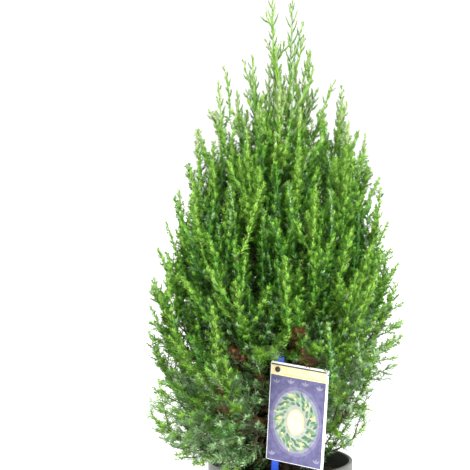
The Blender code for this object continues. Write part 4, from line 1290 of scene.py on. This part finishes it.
def deal_colours(shoots, depth):
    """A plain colour for each shoot, by its height, how deep it lies, and chance. Darker colours deep
    in the crown are painted shade; lighter ones towards the tips, low down, on the airy low sides and
    near the low outline are painted light; lighter ones up high are the paler top growth together with
    painted light.
    """
    count = len(depth)
    across, _, height = shoots["p2"].T
    tone, tipness = shoots["tone"], shoots["tipness"]
    low = 1.0 - change("blue", height)
    low_side = change("low_side", height)
    # painted shade: the deeper a shoot lies, the darker its colour, less so near the top
    shade = smooth_step(*SHADE_DEPTHS, depth) * mix(1.0, TOP_SHADE, change("shade", height))
    blue = mix(rng.uniform(0.0, 1.0, count), shoots["blue"], SHARED_BLUE * low) + BLUE_TONE * tone
    left = beyond(-across, *SIDE_PLACE) * low_side
    is_blue = blue < (LEAST_BLUE + (LOW_BLUE - LEFT_BLUE_LOSS * left) * low
                      + SHADED_BLUE * shade - TIP_BLUE_LOSS * tipness)
    # painted light towards the tips and painted shade deep inside
    light = LIGHT_BASE + TIP_LIGHT * tipness - SHADE_LOSS * shade
    # lighter with height: the paler top growth together with painted light
    for trait, gain in HEIGHT_LIGHTS:
        light = light + gain * change(trait, height)
    # painted light on the airy low right and lowest sides
    right = beyond(across, *RIGHT_PLACE) * (1.0 - change("right_side", height))
    airy = np.maximum(right, beyond(np.abs(across), *SIDE_PLACE) * (1.0 - low_side))
    light = light + LOW_LIGHT * low + AIRY_LIGHT * airy
    level, airy_level, evening = LOW_LEVEL
    light = mix(light, level + airy_level * airy, evening * low)
    # painted light near the outline low down
    edge = 1.0 - smooth_step(*EDGE_DEPTHS, depth)
    gain, edge_gain = EDGE_LIGHT
    limit, airy_limit = LOW_LIGHT_LIMIT
    brightened = np.minimum(light + (gain + edge_gain * edge) * low, limit + airy_limit * airy)
    light = np.where(height < LOW_LIGHT_TOP, brightened, light)
    light = light + (1.0 + LOW_TONE_GAIN * low) * tone + rng.normal(0.0, LIGHT_JITTER, count)
    # painted light: the palest colour only near the outline
    pale_light, inner_pale_light = PALE_LIGHT
    palest = light > pale_light + inner_pale_light * smooth_step(*PALE_DEPTHS, depth)
    green = np.select((palest, *(light > least for least in GREEN_LIGHTS)),
                      (PALE, BRIGHT, LIGHT, MID), DEEP)
    cool = np.select([light > least for least in BLUE_LIGHTS], (PALE_BLUE, BLUE), BLUE_DEEP)
    colours = np.where(is_blue, cool, green)
    dead_chance = np.maximum(INNER_DEAD_SHARE * inner_share(shoots["p2"]) ** 2, shoots["dead"])
    return np.where(rng.uniform(0.0, 1.0, count) < dead_chance, DEAD, colours)


def clothe(shoots, foot_radius, tip_radius, segments, brown_top):
    """The shoots' needles and their tubes, as arrays."""
    count = len(shoots["p0"])
    middle = shoot_points(*line_of(shoots), np.full(count, SHOOT_MIDDLE))
    depth, height = crown_depth(middle), middle[:, 2]
    colour = deal_colours(shoots, depth)
    brown = smooth_step(*BROWN_DEPTHS, depth) > rng.uniform(0.0, 1.0, count)
    brown |= (shoots["shell"] == CARRIER_SHELL) & (height < CARRIER_BROWN_TOP)
    brown |= height < brown_top
    tubes = shoot_tubes(shoots, foot_radius, tip_radius, segments, brown.astype(int))
    shapes = needle_shapes(height, shoots["shell"] > 0)
    needles = needle_arrays(shoots, shapes, 0.5 * (foot_radius + tip_radius), colour)
    points = needles[0][:, 2]
    thinned = inner_share(points) * INNER_THINNING
    kept = np.repeat(rng.uniform(0.0, 1.0, len(points) // 3), 3) >= thinned
    off_label, above_pot = NEEDLE_ROOM
    kept &= clear_of_label(points, off_label) & clear_of_pot(points, above_pot)
    return [values[kept] for values in needles], tubes


limbs = tier_limbs() + leader_limbs()
plumes = grow_plumes(limbs)
add_traits(plumes)
clothed = [clothe(shoots, *kind)
           for shoots, kind in zip((plumes, with_room(side_twigs(plumes))), SHOOT_KINDS)]
blades, blade_colours, blade_limbs, blade_normals = (
    np.concatenate(parts) for parts in zip(*(needles for needles, _ in clothed)))
for tier in (*(row[0] for row in TIERS), "leader"):
    numbers = [number for number, limb in enumerate(limbs) if limb["tier"] == tier]
    chosen = np.flatnonzero(np.isin(blade_limbs, numbers))
    pieces = max(1, math.ceil(2 * len(chosen) / MOST_TRIANGLES))
    names = [f"foliage_{limbs[number]['name']}" for number in numbers]
    for index, part in enumerate(np.array_split(chosen, pieces)):
        dress(blade_piece(f"needles_{tier}_{index + 1}", blades[part], blade_colours[part],
                          needle_materials, blade_normals[part]), "needles", *names)
twigs = mesh_piece("twigs", *joined([tubes for _, tubes in clothed]), twig_materials)
dress(twigs, "bark", *[f"foliage_{limb['name']}" for limb in limbs])


# Bark

def ridged_tube(points, radii, sides, ridge, seed, green_from):
    """Arrays of a tube whose radius carries shallow fibrous ridges, green above a height."""
    points = np.array(points)
    level = np.tile(np.array(RIDGE_LEVEL) / math.hypot(*RIDGE_LEVEL), (len(points), 1))
    side, up = across_frame(unit(np.gradient(points, axis=0)), level)
    turns = round_turns(sides)
    local = np.random.default_rng(seed)
    run = np.concatenate(((0.0,), np.cumsum(np.linalg.norm(np.diff(points, axis=0), axis=1))))
    relief = np.zeros((len(points), sides))
    for waves, weight in RIDGE_WAVES:
        phase = local.uniform(0.0, math.tau)
        drift = local.normal(0.0, RIDGE_DRIFT)
        swing = local.uniform(*RIDGE_SWING)
        swing = swing * np.sin(run * local.uniform(*RIDGE_SWING_WAVES) + phase)
        relief += weight * np.sin(waves * turns[None] + (phase + drift * run + swing)[:, None])
    relief += local.normal(0.0, RIDGE_NOISE, relief.shape)
    scale = np.array(radii)[:, None] * (1.0 + ridge * relief / 2.0)
    rings = points[:, None] + scale[:, :, None] * (
        np.cos(turns)[None, :, None] * side[:, None] + np.sin(turns)[None, :, None] * up[:, None])
    vertices = np.concatenate((rings.reshape(-1, 3), points[:1], points[-1:]))
    triangles = in_triangles(turned_faces(len(points), sides))[:, (0, 2, 1)]
    return vertices, triangles, (vertices[triangles[:, 0]][:, 2] > green_from).astype(int)


def trunk_arrays():
    low, high = (SOIL_LEVEL + height for height in TRUNK_FLARE_RANGE)
    heights = np.concatenate((
        np.linspace(low, high, TRUNK_FLARE_RINGS),
        np.linspace(SOIL_LEVEL + TRUNK_SHAFT_FROM, TRUNK_TIP_HEIGHT, TRUNK_RINGS)))
    points = [trunk_point(h) if h > SOIL_LEVEL else h * UP for h in heights]
    radii = [trunk_radius(max(h, SOIL_LEVEL)) for h in heights]
    return ridged_tube(
        points, radii, TRUNK_SIDES, TRUNK_RIDGE, TRUNK_BARK_SEED, GREEN_WOOD_FROM)


def limb_arrays(limb, seed):
    tier, foot = limb["tier"], limb["foot_height"]
    end = BROAD_BARK_END if tier == "broad" else LIMB_BARK_END
    shares = np.linspace(0.0, end, LIMB_RINGS)
    points = bezier(limb["controls"], shares)
    if foot is None:
        points[0] = trunk_point(TRUNK_TIP_HEIGHT) - LEADER_BARK_SINK * UP
    else:
        points[0] = trunk_point(foot)
    faster, power = LIMB_TAPER
    radii = mix(BOUGH_FOOT_RADIUS, LIMB_TIP_RADIUS, np.minimum(1.0, faster * shares) ** power)
    if tier in ("leader", "upper"):
        radii = radii * SLIM_LIMBS
    return ridged_tube(
        points, radii, LIMB_SIDES, LIMB_RIDGE, seed, points[GREEN_LIMB_RING][2])


wood_materials = [bark_material, twig_materials[0]]
trunk = mesh_piece("trunk_bark", *trunk_arrays(), wood_materials)
dress(trunk, "bark", "trunk")
bark = joined([limb_arrays(limb, LIMB_BARK_SEED + number) for number, limb in enumerate(limbs)])
dress(mesh_piece("bough_bark", *bark, wood_materials), "bark",
      *[f"bough_{limb['name']}" for limb in limbs if limb["bare"] > 0.0])


# Pot

def pot_inner_radius(height):
    share = (height - POT_FLOOR) / (POT_HEIGHT - POT_FLOOR)
    return mix(POT_BASE_RADIUS - POT_WALL, POT_RIM_RADIUS - POT_LIP_WIDTH, share)


def pot_corners():
    """The corners of the pot's turned profile and how far each is rounded."""
    lip_under = POT_HEIGHT - POT_LIP_THICKNESS
    skirt_under = POT_HEIGHT - POT_SKIRT_HEIGHT
    skirt_inside = POT_RIM_RADIUS - POT_SKIRT_THICKNESS
    return (
        ((0.0, POT_FLOOR), 0.0),
        ((pot_inner_radius(POT_FLOOR), POT_FLOOR), 0.0015),
        ((POT_RIM_RADIUS - POT_LIP_WIDTH, POT_HEIGHT), 0.0009),
        ((POT_RIM_RADIUS, POT_HEIGHT), 0.0012),
        ((POT_RIM_RADIUS, skirt_under), 0.0005),
        ((skirt_inside, skirt_under), 0.0004),
        ((skirt_inside, lip_under), 0.0006),
        ((pot_inner_radius(lip_under) + POT_WALL, lip_under), 0.0006),
        ((POT_BASE_RADIUS, POT_FOOT_CHAMFER), 0.0008),
        ((POT_BASE_RADIUS - POT_FOOT_CHAMFER, 0.0), 0.0006),
        ((0.0, 0.0), 0.0),
    )


def fillet(corner, before, after, radius):
    """Points of a rounded corner of a turned profile."""
    corner, before, after = (np.array(p, dtype=float) for p in (corner, before, after))
    sides = (before - corner, after - corner)
    reach = min(radius, *(FILLET_REACH * np.linalg.norm(side) for side in sides))
    start, end = (corner + reach * unit(side) for side in sides)
    t = np.linspace(0.0, 1.0, FILLET_STEPS)[:, None]
    return list((1 - t) ** 2 * start + 2 * t * (1 - t) * corner + t ** 2 * end)


def turned_piece(name, profile, steps):
    """A closed solid turned round the Z axis; the profile starts and ends on it."""
    inner = np.array(profile[1:-1])
    turns = round_turns(steps)
    rings = np.stack((
        inner[:, None, 0] * np.cos(turns), inner[:, None, 0] * np.sin(turns),
        np.repeat(inner[:, 1:], steps, axis=1)), axis=2)
    ends = [(0, 0, profile[0][1]), (0, 0, profile[-1][1])]
    vertices = [tuple(v) for v in np.concatenate((rings.reshape(-1, 3), ends))]
    mesh = bpy.data.meshes.new(name)
    mesh.from_pydata(vertices, [], turned_faces(len(inner), steps))
    mesh.update()
    return add_object(name, mesh)


def smooth_shade(piece):
    piece.data.shade_smooth()
    piece.data.set_sharp_from_angle(angle=math.radians(POT_SMOOTH_ANGLE))


def cut_drain_holes(pot):
    """Cut the drain holes and take the result as the pot's own mesh."""
    cutters = []
    for index in range(DRAIN_HOLE_COUNT):
        turn = math.tau * (index + DRAIN_HOLE_TURN) / DRAIN_HOLE_COUNT
        place = (DRAIN_HOLE_CIRCLE * math.cos(turn), DRAIN_HOLE_CIRCLE * math.sin(turn), 0.0)
        bpy.ops.mesh.primitive_cylinder_add(
            vertices=DRAIN_HOLE_STEPS, radius=DRAIN_HOLE_RADIUS, depth=4.0 * POT_FLOOR,
            location=place)
        cutters.append(bpy.context.object)
        hole = pot.modifiers.new("hole", "BOOLEAN")
        hole.object = cutters[-1]
        hole.solver = "EXACT"
    bpy.context.view_layer.update()
    cut = pot.evaluated_get(bpy.context.evaluated_depsgraph_get())
    shell = bpy.data.meshes.new_from_object(cut)
    pot.modifiers.clear()
    pot.data = shell
    for cutter in cutters:
        bpy.data.objects.remove(cutter)


corners = pot_corners()
pot_profile = [corners[0][0]]
for (before, _), (corner, radius), (after, _) in zip(corners, corners[1:], corners[2:]):
    pot_profile += fillet(corner, before, after, radius)
pot_profile.append(corners[-1][0])
pot = turned_piece("pot_shell", pot_profile, POT_STEPS)
cut_drain_holes(pot)
smooth_shade(pot)
pot.data.materials.clear()
pot.data.materials.append(patterned_material(
    "moulded_plastic", ((71, 71, 68), (79, 79, 76), (87, 87, 83)), 30.0, (0.38, 0.50),
    (0.10, 0.0002), 900.0))
dress(pot, "pot_plastic", "pot")


# Potting mix: a lumpy surface with chips of bark and peat, and a few fallen needles

SOIL_EDGE = pot_inner_radius(SOIL_LEVEL) - GAP


def soil_height(x, y):
    """The lumpy top of the potting mix."""
    lumps = np.zeros_like(x)
    local = np.random.default_rng(SOIL_SEED)
    for waves, height in LUMPS:
        for _ in range(LUMP_DIRECTIONS):
            turn, phase = local.uniform(0.0, math.tau, 2)
            lumps += 0.5 * height * np.sin(
                waves * (math.cos(turn) * x + math.sin(turn) * y) + phase)
    return SOIL_LEVEL - SOIL_DIP + lumps


def soil_piece():
    rings = np.linspace(0.0, 1.0, SOIL_RINGS + 1)[1:]
    turns = round_turns(SOIL_SECTORS)
    x = SOIL_EDGE * rings[:, None] * np.cos(turns)
    y = SOIL_EDGE * rings[:, None] * np.sin(turns)
    edge = pot_inner_radius(SOIL_FLOOR) - GAP
    floor = np.full(SOIL_SECTORS, SOIL_FLOOR)
    points = np.concatenate((
        np.stack((x, y, soil_height(x, y)), axis=2).reshape(-1, 3),
        np.stack((edge * np.cos(turns), edge * np.sin(turns), floor), axis=1),
        [(0.0, 0.0, float(soil_height(np.zeros(1), np.zeros(1))[0])), (0.0, 0.0, SOIL_FLOOR)]))
    faces = in_triangles(turned_faces(SOIL_RINGS + 1, SOIL_SECTORS))
    piece = mesh_piece("soil_surface", points, faces, np.zeros(len(faces), int), [soil_material])
    piece.data.shade_smooth()
    return piece


def strewn(count, inset, least):
    """Places strewn evenly over the potting mix."""
    radius = (SOIL_EDGE - inset) * np.sqrt(rng.uniform(least, 1.0, count))
    turn = rng.uniform(0.0, math.tau, count)
    return radius * np.cos(turn), radius * np.sin(turn)


def chip_piece():
    """Small uneven blocks that lie in the top of the potting mix."""
    x, y = strewn(CHIP_COUNT, *CHIP_PLACES)
    size = rng.uniform(*CHIP_SPREAD, (CHIP_COUNT, 1)) ** CHIP_CROWDING
    size = size * rng.uniform(*CHIP_SIZES, (CHIP_COUNT, 3))
    way = unit(rng.normal(0.0, 1.0, (CHIP_COUNT, 3)) * CHIP_LEVELLING)
    side, up = across_frame(way, unit(rng.normal(0.0, 1.0, (CHIP_COUNT, 3))))
    box = np.array([(a, b, c) for a in (-1, 1) for b in (-1, 1) for c in (-1, 1)], dtype=float)
    corners = box[None] * rng.uniform(*CHIP_CORNERS, (CHIP_COUNT, 8, 3)) * size[:, None]
    chips = (corners[:, :, :1] * way[:, None] + corners[:, :, 1:2] * side[:, None]
             + corners[:, :, 2:] * up[:, None])
    chips += np.stack((x, y, soil_height(x, y) + CHIP_RISE * size[:, 2]), axis=1)[:, None]
    faces = repeated(BOX_FACES, CHIP_COUNT, len(box)).reshape(-1, 3)
    is_bark = rng.uniform(0.0, 1.0, CHIP_COUNT) < BARK_CHIP_SHARE
    return mesh_piece("soil_chips", chips.reshape(-1, 3), faces,
                      np.repeat(is_bark, len(BOX_FACES)).astype(int), [soil_material, chip_material])


def fallen_piece():
    x, y = strewn(FALLEN_NEEDLES, *FALLEN_PLACES)
    foot = np.stack((x, y, soil_height(x, y) + FALLEN_HEIGHT), axis=1)
    lie = rng.uniform(0.0, math.tau, FALLEN_NEEDLES)
    tilt = rng.normal(0.0, FALLEN_TILT, FALLEN_NEEDLES)
    way = np.stack((np.cos(lie), np.sin(lie), tilt), axis=1)
    side = np.stack((-np.sin(lie), np.cos(lie), np.zeros(FALLEN_NEEDLES)), axis=1)
    length = rng.uniform(*FALLEN_LENGTHS, (FALLEN_NEEDLES, 1))
    middle = foot + FALLEN_MIDDLE * length * way + GAP * UP
    half = FALLEN_HALF_WIDTH * side
    blades = np.stack((foot, middle - half, foot + length * way, middle + half), axis=1)
    is_brown = rng.uniform(0.0, 1.0, FALLEN_NEEDLES) < FALLEN_BROWN_SHARE
    return blade_piece("fallen_needles", blades, np.where(is_brown, DEAD, DEEP), needle_materials)


soil_material = patterned_material(
    "peat_mix", ((20, 15, 12), (40, 30, 23), (68, 52, 40)), 240.0, (0.85, 1.0),
    (0.9, 0.002), 700.0)
chip_material = patterned_material(
    "bark_chips", ((44, 30, 22), (74, 52, 38), (112, 84, 62)), 300.0, (0.75, 0.95),
    (0.6, 0.001), 800.0)
dress(soil_piece(), "potting_mix", "soil")
dress(chip_piece(), "potting_mix", "soil")
dress(fallen_piece(), "needles", "soil")


# Label: the card with a generic print, the stake and the peg's cap

def oval(centre, across, up, steps):
    return [(centre[0] + across * math.cos(turn), centre[1] + up * math.sin(turn))
            for turn in round_turns(steps)]


def rectangle(left, right, low, high):
    return [(left, low), (right, low), (right, high), (left, high)]


def leaf(foot, turn, length, width):
    """A pointed leaf's outline from its foot, as points."""
    shares = np.linspace(0.0, 1.0, 9)
    half = 0.5 * width * np.sin(math.pi * shares ** 0.8)
    side = list(zip(length * shares, half)) + list(zip(length * shares, -half))[-2:0:-1]
    return [(foot[0] + math.cos(turn) * a - math.sin(turn) * b,
             foot[1] + math.sin(turn) * a + math.cos(turn) * b) for a, b in side]


def ground_shapes():
    """The violet ground, the cream band round the peg's hole, the straw line across the band and a
    thin dark line across the card under its top edge.
    """
    (left, right), (low, high) = PRINT_SIDES, BAND
    before, after = PEG_PLACE[0] - PEG_CLEARANCE, PEG_PLACE[0] + PEG_CLEARANCE
    under, over = PEG_PLACE[1] - PEG_CLEARANCE, PEG_PLACE[1] + PEG_CLEARANCE
    line_left, line_right = left + BAND_LINE_INSETS[0], right - BAND_LINE_INSETS[1]
    return [
        (rectangle(left, right, PRINT_LOW, low), 1, "dusk"),
        (rectangle(left, right, *TOP_LINE), 1, "ink"),
        (rectangle(left, before, low, high), 1, "cream"),
        (rectangle(before, after, low, under), 1, "cream"),
        (rectangle(before, after, over, high), 1, "cream"),
        (rectangle(after, right, low, high), 1, "cream"),
        (rectangle(line_left, line_right, *BAND_LINE), 2, "straw"),
    ]


def wreath_shapes():
    """Rings of leaves with small buds, round the oval in the middle."""
    shapes = [(oval(WREATH_MIDDLE, reach, GROUND_TALLNESS * reach, 56), layer, colour)
              for reach, colour, layer in WREATH_GROUNDS]
    chance = random.Random(PRINT_SEED)
    for ring, (across, up, leaves, size) in enumerate(WREATH_RINGS):
        for index in range(leaves):
            turn = math.tau * (index + 0.3 * ring) / leaves
            foot = (WREATH_MIDDLE[0] + across * math.cos(turn),
                    WREATH_MIDDLE[1] + up * math.sin(turn))
            lean = turn + WREATH_LEANS[index % 2]
            lean += chance.uniform(-WREATH_LEAN_JITTER, WREATH_LEAN_JITTER)
            colour = chance.choice(WREATH_COLOURS)
            length = size * chance.uniform(*WREATH_SIZES)
            outline = leaf(foot, lean, length, WREATH_LEAF_WIDTH)
            shapes.append((outline, 5 + 2 * ring + index % 2, colour))
    for index in range(BUD_COUNT):
        turn = math.tau * (index + 0.4) / BUD_COUNT
        spot = (WREATH_MIDDLE[0] + BUD_RING[0] * math.cos(turn),
                WREATH_MIDDLE[1] + BUD_RING[1] * math.sin(turn))
        shapes.append((oval(spot, BUD_RADIUS, BUD_RADIUS, 12), 11, "straw"))
    return shapes + [(oval(WREATH_MIDDLE, *halves, 40), layer, colour)
                     for halves, layer, colour in CENTRE_OVALS]


def sprig_shapes():
    return [(leaf(place, math.radians(turn), *SPRIG_LEAF), 3, "lilac")
            for place in SPRIG_PLACES for turn in SPRIG_TURNS]


def print_piece():
    """The print's shapes as thin plates on the card, in metres from the card's middle."""
    vertices, faces, slots = [], [], []
    names = list(PRINT_COLOURS)
    for outline, layer, colour in ground_shapes() + wreath_shapes() + sprig_shapes():
        area = sum(a[0] * b[1] - b[0] * a[1] for a, b in zip(outline, outline[1:] + outline[:1]))
        if area < 0.0:
            outline = outline[::-1]
        count, start = len(outline), len(vertices)
        back, front = CARD_FRONT + PRINT_SINK, CARD_FRONT - PRINT_STEP * layer
        vertices += [(x, back, z) for x, z in outline] + [(x, front, z) for x, z in outline]
        faces.append(tuple(start + count + i for i in range(count)))
        faces.append(tuple(start + i for i in reversed(range(count))))
        for i in range(count):
            after = (i + 1) % count
            faces.append((start + i, start + after, start + count + after, start + count + i))
        slots += [names.index(colour)] * (count + 2)
    mesh = bpy.data.meshes.new("label_print")
    mesh.from_pydata(vertices, [], faces)
    for name, colour in PRINT_COLOURS.items():
        shades = [tuple(min(255, max(0, c + shade)) for c in colour) for shade in PRINT_SHADES]
        mesh.materials.append(patterned_material(
            f"print_{name}", shades, 160.0, (0.34, 0.46), (0.05, 0.0001), 900.0))
    mesh.polygons.foreach_set("material_index", slots)
    mesh.transform(LABEL_FRAME)
    mesh.update()
    return add_object("label_print", mesh)


def cap_piece():
    """The low dome of the peg that holds the card to the stake."""
    straight = 2.0 * CAP_EDGE
    profile = [(0.0, CAP_SEAT), (CAP_RADIUS - CAP_EDGE, CAP_SEAT), (CAP_RADIUS, CAP_SEAT + CAP_EDGE)]
    profile += [(CAP_RADIUS * math.cos(t), CAP_SEAT + straight + (CAP_HEIGHT - straight) * math.sin(t))
                for t in np.linspace(0.0, 1.45, 9)]
    profile.append((0.0, CAP_SEAT + CAP_HEIGHT))
    cap = turned_piece("label_peg_cap", profile[::-1], CAP_STEPS)
    place = Matrix.Translation((PEG_PLACE[0], 0.0, PEG_PLACE[1]))
    cap.data.transform(LABEL_FRAME @ place @ Matrix.Rotation(math.radians(90.0), 4, "X"))
    smooth_shade(cap)
    cap.data.materials.append(patterned_material(
        "peg_plastic", ((30, 28, 32), (40, 37, 42), (54, 50, 56)), 200.0, (0.35, 0.5),
        (0.1, 0.0002), 900.0))
    return cap


dress(print_piece(), "label_card")
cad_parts["label_card"].data.materials[0] = patterned_material(
    "card_white", ((238, 238, 240), (246, 246, 247), (252, 252, 252)), 60.0, (0.34, 0.46),
    (0.05, 0.0001), 900.0)
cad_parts["label_stake"].data.materials[0] = patterned_material(
    "stake_plastic", ((34, 66, 176), (42, 80, 198), (54, 94, 214)), 60.0, (0.32, 0.44),
    (0.08, 0.0002), 700.0)
dress(cap_piece(), "label_stake")


# Camera, light and floor

camera_data = bpy.data.cameras.new("camera")
camera_data.sensor_width = SENSOR_WIDTH
camera_data.lens = SENSOR_WIDTH * FOCAL_PIXELS / FRAME_PIXELS
camera_data.clip_start = 0.05
camera_data.clip_end = 1.5 * FLOOR_SIZE
camera = add_object("camera", camera_data)
camera.location = CAMERA_PLACE
camera.rotation_euler = (math.radians(90.0 + CAMERA_PITCH), 0.0, math.radians(CAMERA_YAW))
bpy.context.scene.camera = camera

world = bpy.data.worlds.new("studio")
bpy.context.scene.world = world
world.use_nodes = True
background = world.node_tree.nodes["Background"]
background.inputs["Color"].default_value = (1.0, 1.0, 1.0, 1.0)
background.inputs["Strength"].default_value = WORLD_STRENGTH

for name, toward, strength, spread in SUNS:
    sun = bpy.data.lights.new(name, "SUN")
    sun.energy = strength
    sun.angle = math.radians(spread)
    lamp = add_object(name, sun)
    lamp.rotation_euler = Vector(toward).to_track_quat("Z", "Y").to_euler()

bpy.ops.mesh.primitive_plane_add(size=FLOOR_SIZE, location=(0.0, 0.0, -FLOOR_DROP))
floor = bpy.context.object
floor.name = "floor"
floor.data.materials.append(patterned_material(
    "pale_floor", ((240, 240, 238), (244, 244, 242), (248, 248, 247)), 3.0, (0.7, 0.8),
    (0.02, 0.001), 60.0))

bpy.context.scene.view_settings.view_transform = "Standard"
